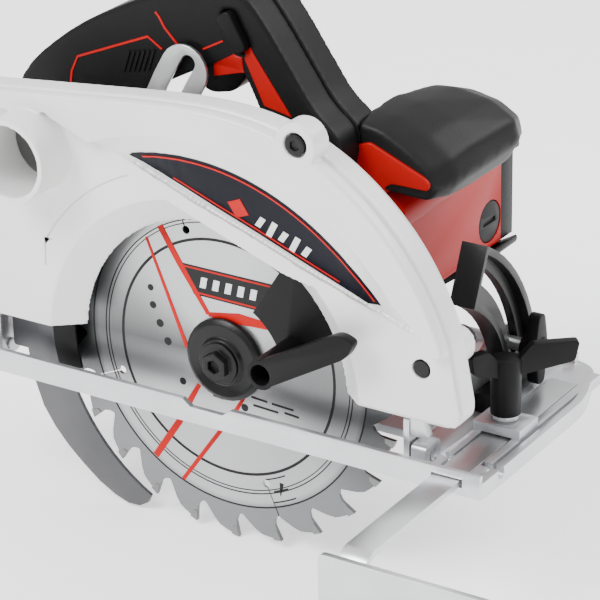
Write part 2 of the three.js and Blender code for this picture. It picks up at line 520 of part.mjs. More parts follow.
// ---------------------------------------------------------------- swinging lower guard
const LOWER_FROM = degrees(15);
const LOWER_TO = degrees(195);
const LEVER_RADIUS = 46;
const LEVER_ANGLE = degrees(21);
const [LEVER_X, LEVER_Z] = polar(0, ARBOR_Z, LEVER_RADIUS, LEVER_ANGLE);
function lowerGuard() {
  const near = slabY(band(0, ARBOR_Z, 84, LOWER_RADIUS, LOWER_FROM, LOWER_TO), LOWER_NEAR,
    LOWER_NEAR + SHEET, 12);
  const nearPlate = slabY(band(0, ARBOR_Z, 37, 86, LOWER_FROM, degrees(57)), LOWER_NEAR,
    LOWER_NEAR + SHEET, 4);
  const far = slabY(band(0, ARBOR_Z, 18.4, LOWER_RADIUS, LOWER_FROM, LOWER_TO), LOWER_FAR - SHEET,
    LOWER_FAR, 12);
  const hub = turned([[18.4, LOWER_FAR - SHEET], [24, LOWER_FAR - SHEET], [24, LOWER_FAR], [18.4, LOWER_FAR]],
    0, ARBOR_Z, 26);
  const rim = slabY(band(0, ARBOR_Z, LOWER_RADIUS - SHEET, LOWER_RADIUS, LOWER_FROM, LOWER_TO),
    LOWER_NEAR, LOWER_FAR, 12);
  return cut(join(near, nearPlate, far, hub, rim), rodY(3.3, LOWER_NEAR - 2, 0, LEVER_X, LEVER_Z));
}
piece('lower_guard', lowerGuard(), BLACK_PLASTIC);

function guardLever() {
  const boss = cut(rodY(7.4, -36.5, LOWER_NEAR - GAP, LEVER_X, LEVER_Z),
    rodY(5.2, -40, -22, LEVER_X, LEVER_Z));
  const arm = slabY(rounded([[LEVER_X + 3, LEVER_Z - 6, 2], [LEVER_X + 46, LEVER_Z + 19, 4],
    [LEVER_X + 50, LEVER_Z + 27, 3], [LEVER_X + 42, LEVER_Z + 30, 4], [LEVER_X - 2, LEVER_Z + 6, 2]], 3),
  -36.5, -31.2, 4);
  const stem = rodY(3, LOWER_NEAR - 1, LOWER_NEAR + SHEET + 0.7, LEVER_X, LEVER_Z);
  return cut(join(boss, arm, stem), rodY(5.2, -40, -22, LEVER_X, LEVER_Z));
}
piece('guard_lever', guardLever(), BLACK_PLASTIC);
piece('guard_return_spring', turned([[19, LOWER_FAR + 0.3], [22.5, LOWER_FAR + 0.3],
  [22.5, 9.6], [19, 9.6]], 0, ARBOR_Z), DARK_STEEL);

// ---------------------------------------------------------------- blade and spindle
const FIRST_TIP = degrees(212.5);
const SLOT_ANGLE = degrees(288.6);
const TOOTH = [[BLADE_RADIUS, 0], [91.5, 6.8], [83.5, 12], [82, 13.4], [86.5, 15.75]];
function sawBlade() {
  const step = 2 * Math.PI / TOOTH_COUNT;
  const points = Array.from({ length: TOOTH_COUNT }, (_, i) => TOOTH.map(([radius, behind]) =>
    polar(0, ARBOR_Z, radius, FIRST_TIP - i * step - degrees(behind)))).flat();
  const plate = slabY(polygon(points), 0, BLADE_BODY);
  const reliefs = Array.from({ length: 4 }, (_, i) => {
    const angle = SLOT_ANGLE + i * Math.PI / 2;
    const [x, z] = polar(0, ARBOR_Z, 65, angle);
    const neck = block(0, 20, -2, 4, -0.35, 0.35).rotate([0, -angle * 180 / Math.PI, 0])
      .translate([x, 0, z]);
    return join(rodY(2.1, -2, 4, x, z), neck);
  });
  return cut(plate, rodY(BORE_RADIUS, -2, 4, 0, ARBOR_Z), ...reliefs);
}
piece('saw_blade', sawBlade(), BLADE_STEEL);

piece('inner_flange', turned([[7.8, 0.2], [BORE_RADIUS - GAP, 0.2], [BORE_RADIUS - GAP, KERF - 0.2],
  [FLANGE_RADIUS, KERF - 0.2], [FLANGE_RADIUS, 5], [7.8, 5]], 0, ARBOR_Z, 28), DARK_STEEL);
piece('outer_flange', turned([[4.4, -GAP], [FLANGE_RADIUS, -GAP], [FLANGE_RADIUS, -2.6], [18.5, -4.2],
  [12.5, -4.2], [11.5, -6.2], [4.4, -6.2]], 0, ARBOR_Z, 28), BLACK_STEEL);
piece('blade_bolt', cut(join(turned([[0, -6.5], [10.5, -6.5], [10.5, -7.6], [0, -7.6]], 0, ARBOR_Z),
  rodY(7.2, -11.6, -7, 0, ARBOR_Z, 6), rodY(4, -7, 22, 0, ARBOR_Z)),
rodY(3.6, -13, -8.5, 0, ARBOR_Z, 6)), BLACK_STEEL);
piece('spindle', cut(join(rodY(7.5, 0, 40, 0, ARBOR_Z), rodY(9, 5.4, 12, 0, ARBOR_Z),
  rodY(5, 39, 48, 0, ARBOR_Z)), rodY(4.4, -1, 24, 0, ARBOR_Z)), DARK_STEEL);
piece('drive_gear', cut(slabY(toothed(0, ARBOR_Z, GEAR_TEETH, MOTOR_LEAN + Math.PI / GEAR_TEETH), 26, 37),
  rodY(7.8, 20, 40, 0, ARBOR_Z), rodY(18, 25, 28, 0, ARBOR_Z).subtract(rodY(11, 24, 29, 0, ARBOR_Z))),
DARK_STEEL);

const bearing = (name, inner, outer, y0, y1, x, z) =>
  piece(name, turned([[inner, y0], [outer, y0], [outer, y1], [inner, y1]], x, z, 22), DARK_STEEL);
bearing('spindle_blade_bearing', 7.8, 17.2, 14.5, 24, 0, ARBOR_Z);
bearing('spindle_gear_bearing', 5.3, 11, 41, 48, 0, ARBOR_Z);
bearing('armature_drive_bearing', 5.3, 13, 41.5, 48.5, MOTOR_X, MOTOR_Z);
bearing('armature_end_bearing', 4.3, 10, 161.4, 167, MOTOR_X, MOTOR_Z);

// ---------------------------------------------------------------- gear case and bearing plate
function caseOutline(low, high) {
  const shape = new THREE.Shape();
  shape.absarc(0, ARBOR_Z, low, degrees(160), degrees(340), false);
  shape.absarc(MOTOR_X + 1, MOTOR_Z, high, degrees(-20), degrees(185), false);
  shape.closePath();
  return shape;
}
const LOCK_PIN_Y = 32;
const LOCK_PIN_Z = ARBOR_Z + 8;
const aboveSole = (body) => cut(body, block(-80, 80, -5, 60, -40, 0.6));
function gearHousing() {
  const outer = slabY(caseOutline(29.6, 40), GUARD_FAR + GAP, CASE_FAR, 8);
  const inner = slabY(caseOutline(26.9, 36.5), GUARD_FAR + 4.5, CASE_FAR + 1, 8);
  const nose = turned([[9.4, 5.6], [18, 5.6], [18, 15], [9.4, 15]], 0, ARBOR_Z, 26);
  const pocket = rodY(20.5, 14, 24.4, 0, ARBOR_Z);
  const drum = join(aboveSole(cut(outer, inner)), pocket, nose);
  return cut(drum, rodY(17.5, 14.2, 30, 0, ARBOR_Z), rodY(9.4, 4, 20, 0, ARBOR_Z),
    rodX(4.3, 20, 50, LOCK_PIN_Y, LOCK_PIN_Z));
}
piece('gear_housing', gearHousing(), CAST_ALUMINIUM);

function bearingPlate() {
  const plate = slabY(caseOutline(29.6, 40), CASE_FAR + GAP, CASE_FAR + 3.8, 8);
  const lowSeat = rodY(13.6, 40, CASE_FAR + 3.8, 0, ARBOR_Z);
  const highSeat = rodY(15.6, 40.6, CASE_FAR + 3.8, MOTOR_X, MOTOR_Z);
  return cut(aboveSole(join(plate, lowSeat, highSeat)), rodY(11.3, 40.7, 60, 0, ARBOR_Z),
    rodY(13.3, 41.2, 60, MOTOR_X, MOTOR_Z), rodY(8, 38, 60, 0, ARBOR_Z),
    rodY(9, 38, 60, MOTOR_X, MOTOR_Z));
}
piece('bearing_plate', bearingPlate(), CAST_ALUMINIUM);

// ---------------------------------------------------------------- motor
function armatureShaft() {
  const shaft = rodY(5, 38, 161, MOTOR_X, MOTOR_Z);
  const tail = rodY(4, 160, 168, MOTOR_X, MOTOR_Z);
  const phase = MOTOR_LEAN + Math.PI;
  const pinion = slabY(toothed(MOTOR_X, MOTOR_Z, PINION_TEETH, phase), 25, 39);
  return join(shaft, tail, pinion);
}
piece('armature_shaft', armatureShaft(), DARK_STEEL);

const CORE_RADIUS = 22.5;
function armatureCore() {
  const core = rodY(CORE_RADIUS, 70, 124, MOTOR_X, MOTOR_Z);
  const slots = Array.from({ length: 12 }, (_, i) =>
    block(CORE_RADIUS - 4, CORE_RADIUS + 2, 60, 130, -1.2, 1.2).rotate([0, 30 * i, 0])
      .translate([MOTOR_X, 0, MOTOR_Z]));
  const windings = join(rodY(17, 64, 71, MOTOR_X, MOTOR_Z), rodY(17, 123, 134, MOTOR_X, MOTOR_Z));
  return cut(join(cut(core, ...slots), windings), rodY(5.3, 50, 150, MOTOR_X, MOTOR_Z));
}
piece('armature_core', armatureCore(), COPPER);
piece('commutator', turned([[5.3, 138], [13, 138], [13, 140], [12, 141], [12, 158], [5.3, 158]],
  MOTOR_X, MOTOR_Z, 24), COPPER);

function coolingFan() {
  const disk = rodY(37, 53, 54.6, MOTOR_X, MOTOR_Z);
  const hub = rodY(10, 53, 62, MOTOR_X, MOTOR_Z);
  const blades = Array.from({ length: 9 }, (_, i) =>
    block(9, 36, 54, 61, -0.8, 0.8).rotate([0, 40 * i, 0]).translate([MOTOR_X, 0, MOTOR_Z]));
  return cut(join(disk, hub, ...blades), rodY(5.3, 50, 70, MOTOR_X, MOTOR_Z));
}
piece('cooling_fan', coolingFan(), CREAM);

const POLE_HALF = degrees(26);
const SLOT_HALF = degrees(41);
function fieldStack() {
  const ring = rodY(39.5, 70, 124, MOTOR_X, MOTOR_Z);
  const bore = rodY(CORE_RADIUS + 1, 60, 130, MOTOR_X, MOTOR_Z);
  const pocket = (middle) => slabY(band(MOTOR_X, MOTOR_Z, CORE_RADIUS, 34, middle - SLOT_HALF,
    middle + SLOT_HALF), 60, 130, 12).subtract(slabY(band(MOTOR_X, MOTOR_Z, CORE_RADIUS - 1, 35,
    middle - POLE_HALF, middle + POLE_HALF), 60, 130, 8));
  return cut(ring, bore, pocket(degrees(90)), pocket(degrees(270)));
}
piece('field_stack', fieldStack(), DARK_STEEL);
function fieldCoil(middle) {
  const loop = slabY(band(MOTOR_X, MOTOR_Z, 25.5, 33.4, middle - SLOT_HALF + 0.02,
    middle + SLOT_HALF - 0.02), 65.5, 130, 12);
  const hole = slabY(band(MOTOR_X, MOTOR_Z, 24, 36, middle - POLE_HALF - 0.02,
    middle + POLE_HALF + 0.02), 69.6, 124.4, 8);
  return cut(loop, hole);
}
piece('field_coil_upper', fieldCoil(degrees(90)), COPPER);
piece('field_coil_lower', fieldCoil(degrees(270)), COPPER);

// ---------------------------------------------------------------- motor housing
const housingOutline = (grow) => {
  const radius = BARREL_RADIUS + grow;
  const shape = new THREE.Shape();
  shape.moveTo(HOUSING_FACE + grow, 43 - grow);
  shape.lineTo(HOUSING_FACE + grow, 90);
  shape.quadraticCurveTo(HOUSING_FACE + grow, 98 + grow, 52 + grow, 100 + grow);
  shape.lineTo(MOTOR_X, MOTOR_Z + radius);
  shape.absarc(MOTOR_X, MOTOR_Z, radius, degrees(90), degrees(285), false);
  shape.closePath();
  return shape;
};
// The neck on top of the housing carries the pommel.
const NECK_NEAR = 56;
const NECK_FAR = 119;
const neckOutline = (grow) => rounded([[16 - grow, 94, 0], [64 + grow, 86 - grow, 3],
  [66 + grow, 96 + grow, 3], [59 + grow, 103 + grow, 3], [20 - grow, 107 + grow, 3]], 3);
const BRUSH_Y = 148.4;
const BRUSH_REST = 13.4;          // brush tip, from the motor axis
function motorHousing() {
  const outer = slabY(housingOutline(0), BARREL_NEAR, BARREL_FAR, 8);
  const collar = slabY(caseOutline(29.6, 40), BARREL_NEAR, 52.4, 8);
  const bore = rodY(BARREL_BORE, BARREL_NEAR + 3, 136, MOTOR_X, MOTOR_Z);
  const brushRoom = rodY(34, 130, BARREL_FAR + 1, MOTOR_X, MOTOR_Z);
  const mouth = rodY(38.5, BARREL_NEAR - 1, 60, MOTOR_X, MOTOR_Z);
  const neck = slabY(neckOutline(0), NECK_NEAR, NECK_FAR, 2);
  const brushBores = join(rodX(6.6, MOTOR_X + 20, 80, BRUSH_Y, MOTOR_Z),
    rodX(6.6, -60, MOTOR_X - 20, BRUSH_Y, MOTOR_Z),
    rodX(11.3, HOUSING_FACE - 3.4, 80, BRUSH_Y, MOTOR_Z), rodX(11.3, -60, MOTOR_X - 41, BRUSH_Y, MOTOR_Z));
  const lugs = block(-36, -28, 118, 158, MOTOR_Z - 13, MOTOR_Z + 13);
  const screwFlats = block(-60, 80, 40, 52.4, -20, ARBOR_Z - 3).subtract(block(-29, 29, 39, 53, -20, 30));
  const vents = Array.from({ length: 6 }, (_, i) =>
    block(-60, MOTOR_X - 30, 72 + 8 * i, 75 + 8 * i, MOTOR_Z - 14, MOTOR_Z + 14));
  return cut(aboveSole(join(cut(outer, screwFlats), collar, neck, lugs)), bore, brushRoom, mouth,
    brushBores, rodY(8.4, 40, 60, 0, ARBOR_Z), ...vents);
}
piece('motor_housing', motorHousing(), RED_PLASTIC);

function endCap() {
  const cap = slabY(housingOutline(0), BARREL_FAR + GAP, 172, 8);
  const lowLip = slabY(rounded([[30, 24, 2], [HOUSING_FACE + 3.5, 43, 3], [HOUSING_FACE + 3.5, 39, 3],
    [34, 17, 2]], 2), 146, 171, 3);
  const highLip = slabY(rounded([[44, 104, 2], [HOUSING_FACE + 4, 96, 3], [HOUSING_FACE + 4, 90, 2],
    [HOUSING_FACE + GAP, 90, 0], [50, 101.5, 0], [44, 101.6, 0]], 1), 150, 171, 3);
  const seat = rodY(13, 158, 171, MOTOR_X, MOTOR_Z);
  const room = rodY(32, 150, 168.8, MOTOR_X, MOTOR_Z);
  const grooves = Array.from({ length: 5 }, (_, i) =>
    block(-20, 44, 168, 180, 34 + 10 * i, 37 + 10 * i));
  const body = join(cut(cap, room, ...grooves),
    seat.subtract(rodY(10.3, 150, 168.6, MOTOR_X, MOTOR_Z)));
  return join(body, cut(join(lowLip, highLip), slabY(housingOutline(GAP), 100, BARREL_FAR + GAP, 8)));
}
piece('motor_end_cap', endCap(), BLACK_PLASTIC);

const brushSide = (name, side) => {
  const at = (near, far) => [MOTOR_X + side * near, MOTOR_X + side * far].sort((a, b) => a - b);
  const [b0, b1] = at(BRUSH_REST, 29);
  piece(`carbon_brush_${name}`,
    block(b0, b1, BRUSH_Y - 5, BRUSH_Y + 5, MOTOR_Z - 3.2, MOTOR_Z + 3.2), CARBON);
  const [s0, s1] = at(29.3, 40);
  piece(`brush_spring_${name}`, rodX(2.6, s0, s1, BRUSH_Y, MOTOR_Z), ZINC);
  const face = side > 0 ? HOUSING_FACE - MOTOR_X : 48.2;
  const [c0, c1] = at(40.3, face - 0.4);
  const [h0, h1] = at(face - 3.1, face - 0.2);
  const [k0, k1] = at(face - 1.4, face + 1);
  const cap = join(rodX(6.2, c0, c1, BRUSH_Y, MOTOR_Z), rodX(11, h0, h1, BRUSH_Y, MOTOR_Z));
  piece(`brush_cap_${name}`,
    cut(cap, block(k0, k1, BRUSH_Y - 6, BRUSH_Y + 6, MOTOR_Z - 1.1, MOTOR_Z + 1.1)), BLACK_PLASTIC);
};
brushSide('front', 1);
brushSide('rear', -1);

// ---------------------------------------------------------------- handle, grip and controls
const handleOutline = () => rounded([[-96, 80, 6], [-142, 84, 10], [-150, 112, 12], [-136, 142, 14],
  [-104, 168, 20], [-60, 190, 24], [-24, 201, 16], [-6, 198, 12], [7, 182, 10], [31, 147, 10],
  [44, 137, 5], [46, 126, 4], [40, 103.6, 3], [-22, 103, 3], [-40, 92, 8]], 10);
const loopOutline = () => rounded([[2, 141, 6], [-10, 165, 6], [-26, 161, 6], [-60, 143, 8],
  [-94, 127, 10], [-102, 112, 8], [-88, 103, 8], [-26, 110, 6], [-4, 118, 8]], 6);
const triggerGap = () => rounded([[-46, 176, 2], [-8, 176, 2], [-9, 156, 1], [-46, 140, 1]], 2);
const handleSide = () => cut(slabY(handleOutline(), HANDLE_NEAR, HANDLE_FAR, 3),
  slabY(loopOutline(), 0, 100, 3));
const motorEnvelope = () => join(slabY(housingOutline(GAP), BARREL_NEAR - GAP, 90, 8),
  slabY(caseOutline(29.9, 40.3), 0, BARREL_NEAR + 1, 8),
  slabY(neckOutline(GAP), NECK_NEAR - GAP, NECK_FAR + GAP, 2));
// Rooms inside the handle: grip, rear post, lower beam, the bend between them, and the switch gear.
const hollow = () => {
  const inside = (points, radius) =>
    slabY(rounded(points, radius), HANDLE_NEAR + 4, HANDLE_FAR - 4, 3);
  const grip = inside([[-98, 140], [-50, 166], [-50, 180], [-90, 163]], 4);
  const rear = inside([[-140, 92], [-108, 92], [-108, 116], [-112, 132], [-134, 124]], 5);
  const beam = inside([[-104, 86], [-44, 98], [-44, 100], [-104, 97]], 1);
  const throat = inside([[-122, 122], [-92, 142], [-96, 152], [-126, 132]], 4);
  const control = slabY(triggerGap(), HANDLE_MIDDLE - 9, HANDLE_MIDDLE + 9, 3);
  const link = block(-60, -44, HANDLE_MIDDLE - 9, HANDLE_MIDDLE + 9, 166, 176);
  return join(grip, rear, beam, throat, control, link);
};
const CORD_Z = 104;
const cordExit = () => rodX(7.6, -170, -118, HANDLE_MIDDLE, CORD_Z);
function handleHalf(y0, y1, extra) {
  const half = handleSide().intersect(block(-200, 100, y0, y1, 0, 300));
  return cut(half, motorEnvelope(), hollow(), cordExit(), ...extra);
}
// The lock-off button is a slanting oval between these two centres.
const LOCK_HIGH = new THREE.Vector2(-14.5, 185);
const LOCK_LOW = new THREE.Vector2(-8.5, 174);
function lockOval(radius) {
  const along = LOCK_LOW.clone().sub(LOCK_HIGH).setLength(radius);
  const across = new THREE.Vector2(-along.y, along.x);
  const high = LOCK_HIGH.clone().sub(along);
  const low = LOCK_LOW.clone().add(along);
  const corners = [high.clone().add(across), high.clone().sub(across), low.clone().sub(across),
    low.clone().add(across)];
  return rounded(corners.map((corner) => corner.toArray()), radius);
}
const lockHole = slabY(lockOval(4.4), 20, HANDLE_MIDDLE);
const lockRoom = slabY(lockOval(6.4), HANDLE_NEAR + 4, HANDLE_MIDDLE + 6);
piece('handle_near_half', handleHalf(HANDLE_NEAR, HANDLE_MIDDLE - 0.15, [lockHole, lockRoom]),
  BLACK_PLASTIC);
piece('handle_far_half', handleHalf(HANDLE_MIDDLE + 0.15, HANDLE_FAR, [lockRoom]), BLACK_PLASTIC);

// The pommel is what three outlines, seen from the side, from above and from the front, have in common.
function pommelGrip() {
  const side = slabY(rounded([[46.4, 108, 2], [68, 105, 4], [84, 104, 5], [97, 113, 10], [94, 131, 14],
    [68, 142, 16], [46.4, 142, 8]], 6), 40, 140, 6);
  const plan = slabZ(rounded([[30, 51, 8], [76, 49, 14], [94, 64, 16], [97, 112, 14], [80, 127, 14],
    [40, 124, 14], [26, 110, 10]], 10), 80, 170, 6);
  const front = slabX(rounded([[48, 102], [48, 127], [64, 142], [110, 142], [128, 128], [128, 107],
    [121, 102]], 8), 0, 120, 5);
  return cut(side.intersect(plan).intersect(front), motorEnvelope());
}
piece('pommel_grip', pommelGrip(), SOFT_GRIP);

piece('trigger', slabY(rounded([[-43.5, 160, 2], [-12.5, 160, 2], [-13.5, 153, 3], [-20, 145, 4],
  [-34, 142, 5], [-43.5, 149, 2]], 3), HANDLE_MIDDLE - 7.5, HANDLE_MIDDLE + 7.5, 5), BLACK_PLASTIC);
piece('lock_off_button', join(slabY(lockOval(4), HANDLE_NEAR - 3.6, HANDLE_MIDDLE - 8),
  slabY(lockOval(5.8), HANDLE_NEAR + 6.5, HANDLE_MIDDLE - 8)), BLACK_PLASTIC);
piece('switch_block', slabY(rounded([[-88, 150, 1], [-56, 167, 1], [-59, 174, 1], [-90, 158, 1]], 1),
  HANDLE_MIDDLE - 10, HANDLE_MIDDLE + 10, 2), CREAM);
piece('cord_gland', cut(rodX(7.2, -164, -119, HANDLE_MIDDLE, CORD_Z),
  rodX(3.4, -170, -100, HANDLE_MIDDLE, CORD_Z)), BLACK_PLASTIC);

// Depth lock: a bolt from the guard through the slotted guide, with a lever outside it.
const DEPTH_BOLT = polar(PIVOT_X, PIVOT_Z, GUIDE_RADIUS, degrees(178.8));
piece('depth_lock_bolt', join(rodY(3.4, GUARD_FAR + GAP, 39, ...DEPTH_BOLT),
  rodY(8, GUARD_FAR + GAP, GUIDE_NEAR - GAP, ...DEPTH_BOLT)), ZINC);
function depthLever() {
  const [x, z] = DEPTH_BOLT;
  const hub = rodY(8.5, GUIDE_FAR + GAP, 38, x, z);
  const arm = slabY(rounded([[x, z + 5.5], [x - 54, z + 4], [x - 58, z - 4], [x - 50, z - 8],
    [x, z - 5.5]], 3), 31, 36.6, 4);
  return cut(join(hub, arm), rodY(3.7, 20, 50, x, z));
}
piece('depth_lock_lever', depthLever(), BLACK_PLASTIC);
piece('spindle_lock_button', join(rodX(4, 31.6, 56, LOCK_PIN_Y, LOCK_PIN_Z),
  rodX(7, 55.4, 60, LOCK_PIN_Y, LOCK_PIN_Z)), RED_PLASTIC);

export default saw;
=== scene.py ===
import json
import math
import bmesh
import bpy
from mathutils import Matrix, Vector
from mathutils.bvhtree import BVHTree


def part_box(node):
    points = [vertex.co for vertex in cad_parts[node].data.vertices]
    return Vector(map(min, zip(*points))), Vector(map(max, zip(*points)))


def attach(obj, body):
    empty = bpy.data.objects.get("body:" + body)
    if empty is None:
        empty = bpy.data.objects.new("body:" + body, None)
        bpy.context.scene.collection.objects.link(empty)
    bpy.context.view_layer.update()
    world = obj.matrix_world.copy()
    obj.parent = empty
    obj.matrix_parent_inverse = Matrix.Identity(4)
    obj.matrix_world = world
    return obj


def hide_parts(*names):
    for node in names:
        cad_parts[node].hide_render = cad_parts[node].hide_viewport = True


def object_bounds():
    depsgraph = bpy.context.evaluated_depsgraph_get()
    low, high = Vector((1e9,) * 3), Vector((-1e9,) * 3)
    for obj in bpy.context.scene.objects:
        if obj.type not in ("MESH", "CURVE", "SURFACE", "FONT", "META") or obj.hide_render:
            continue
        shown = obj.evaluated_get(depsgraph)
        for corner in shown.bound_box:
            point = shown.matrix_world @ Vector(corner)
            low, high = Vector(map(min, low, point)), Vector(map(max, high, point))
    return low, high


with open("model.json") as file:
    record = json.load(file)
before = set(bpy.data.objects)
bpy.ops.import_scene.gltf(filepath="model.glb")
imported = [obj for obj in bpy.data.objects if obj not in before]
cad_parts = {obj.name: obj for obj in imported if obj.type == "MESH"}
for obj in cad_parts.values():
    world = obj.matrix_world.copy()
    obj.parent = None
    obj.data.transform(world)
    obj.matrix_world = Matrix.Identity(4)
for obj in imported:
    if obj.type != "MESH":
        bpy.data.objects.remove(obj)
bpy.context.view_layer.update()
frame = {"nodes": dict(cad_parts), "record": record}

# Shapes are drawn in millimetres from the blade's outer face on its axis, with z = 0 on the sole.
MM = 0.001
BLADE_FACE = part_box("saw_blade")[0].y
AXIS = (0.0, 28.3)
SCENE = bpy.context.scene
SLOT_OF = {part["node"]: part["material_slot"] for part in frame["record"]["subparts"]}
BODY_OF = {node: body for body, nodes in frame["record"]["behaviour"]["bodies"].items() for node in nodes}


# ---------------------------------------------------------------- camera and light
CAMERA_ANGLES = (32.763, 24.133, -1.201)
CAMERA_TARGET = Vector((0.0002, BLADE_FACE + 0.0649, 0.0333))
CAMERA_DISTANCE = 1.4
CAMERA_LENS, CAMERA_SENSOR = 171.37, 36


def place_camera():
    """Aims the camera from its azimuth, elevation and roll."""
    azimuth, elevation, roll = [math.radians(angle) for angle in CAMERA_ANGLES]
    back = Vector((math.sin(azimuth) * math.cos(elevation), -math.cos(azimuth) * math.cos(elevation),
                   math.sin(elevation)))
    level = Vector((math.cos(azimuth), math.sin(azimuth), 0))
    upright = back.cross(level)
    right = math.cos(roll) * level + math.sin(roll) * upright
    up = -math.sin(roll) * level + math.cos(roll) * upright
    data = bpy.data.cameras.new("camera")
    data.sensor_width = CAMERA_SENSOR
    data.lens = CAMERA_LENS
    camera = bpy.data.objects.new("camera", data)
    matrix = Matrix((right, up, back)).transposed().to_4x4()
    matrix.translation = CAMERA_TARGET + CAMERA_DISTANCE * back
    camera.matrix_world = matrix
    SCENE.collection.objects.link(camera)
    SCENE.camera = camera


def area_light(name, place, energy, size, aim=(0, 0, 0.05)):
    data = bpy.data.lights.new(name, "AREA")
    data.energy = energy
    data.size = size
    light = bpy.data.objects.new(name, data)
    light.location = place
    light.rotation_euler = (Vector(aim) - Vector(place)).to_track_quat("-Z", "Y").to_euler()
    SCENE.collection.objects.link(light)


def studio_world():
    """White overhead, dimmer towards the horizon, so that upright faces keep some contrast."""
    world = bpy.data.worlds.new("studio")
    world.use_nodes = True
    nodes, links = world.node_tree.nodes, world.node_tree.links
    place = nodes.new("ShaderNodeTexCoord")
    split = nodes.new("ShaderNodeSeparateXYZ")
    strength = nodes.new("ShaderNodeMapRange")
    strength.inputs["From Min"].default_value = -0.1
    strength.inputs["From Max"].default_value = 0.75
    strength.inputs["To Min"].default_value = 0.5
    strength.inputs["To Max"].default_value = 1.5
    links.new(place.outputs["Generated"], split.inputs["Vector"])
    links.new(split.outputs["Z"], strength.inputs["Value"])
    nodes["Background"].inputs["Color"].default_value = (1, 1, 1, 1)
    links.new(strength.outputs["Result"], nodes["Background"].inputs["Strength"])
    SCENE.world = world


place_camera()
area_light("key_light", (-0.7, -1.3, 1.5), 46, 0.9)
area_light("rim_light", (0.9, 0.9, 1.2), 18, 0.8)
studio_world()


# ---------------------------------------------------------------- materials
def shaded(name, color, roughness, metallic=0.0, grain=900.0, bump=0.1, mottle=0.12, coat=0.0,
           stretch=(1, 1, 1), gloss=0.5):
    """A surface whose colour drifts a little, with a fine grain in its roughness and relief."""
    made = bpy.data.materials.new(name)
    made.use_nodes = True
    nodes, links = made.node_tree.nodes, made.node_tree.links
    shader = nodes["Principled BSDF"]
    shader.inputs["Metallic"].default_value = metallic
    shader.inputs["Coat Weight"].default_value = coat
    shader.inputs["Specular IOR Level"].default_value = gloss
    place = nodes.new("ShaderNodeTexCoord")
    mapping = nodes.new("ShaderNodeMapping")
    mapping.inputs["Scale"].default_value = stretch
    links.new(place.outputs["Object"], mapping.inputs["Vector"])
    fine = nodes.new("ShaderNodeTexNoise")
    fine.inputs["Scale"].default_value = grain
    fine.inputs["Detail"].default_value = 3
    broad = nodes.new("ShaderNodeTexNoise")
    broad.inputs["Scale"].default_value = 22
    broad.inputs["Detail"].default_value = 4
    links.new(mapping.outputs["Vector"], fine.inputs["Vector"])
    links.new(place.outputs["Object"], broad.inputs["Vector"])
    ramp = nodes.new("ShaderNodeValToRGB")
    ramp.color_ramp.elements[0].position = 0.3
    ramp.color_ramp.elements[1].position = 0.7
    ramp.color_ramp.elements[0].color = (*[c * (1 - mottle) for c in color], 1)
    ramp.color_ramp.elements[1].color = (*[min(1, c * (1 + mottle)) for c in color], 1)
    links.new(broad.outputs["Fac"], ramp.inputs["Fac"])
    links.new(ramp.outputs["Color"], shader.inputs["Base Color"])
    polish = nodes.new("ShaderNodeMapRange")
    polish.inputs["To Min"].default_value = roughness * 0.82
    polish.inputs["To Max"].default_value = min(1, roughness * 1.18)
    links.new(fine.outputs["Fac"], polish.inputs["Value"])
    links.new(polish.outputs["Result"], shader.inputs["Roughness"])
    relief = nodes.new("ShaderNodeBump")
    relief.inputs["Strength"].default_value = bump
    relief.inputs["Distance"].default_value = 0.0004
    links.new(fine.outputs["Fac"], relief.inputs["Height"])
    links.new(relief.outputs["Normal"], shader.inputs["Normal"])
    return made


BLADE_LIGHT_TO, BLADE_DARK_FROM = 77.2 * MM, 77.6 * MM
# Painted reflection: the steel's brightness by its place round the axis, as a share of a turn from the rear.
PAINTED_REFLECTION_STREAKS = [(0.0, 0.2), (0.09, 0.8), (0.24, 0.85), (0.38, 0.72), (0.45, 0.3), (0.52, 0.34), (0.6, 0.75),
           (0.72, 0.95), (0.88, 0.85), (0.95, 0.42), (1.0, 0.2)]


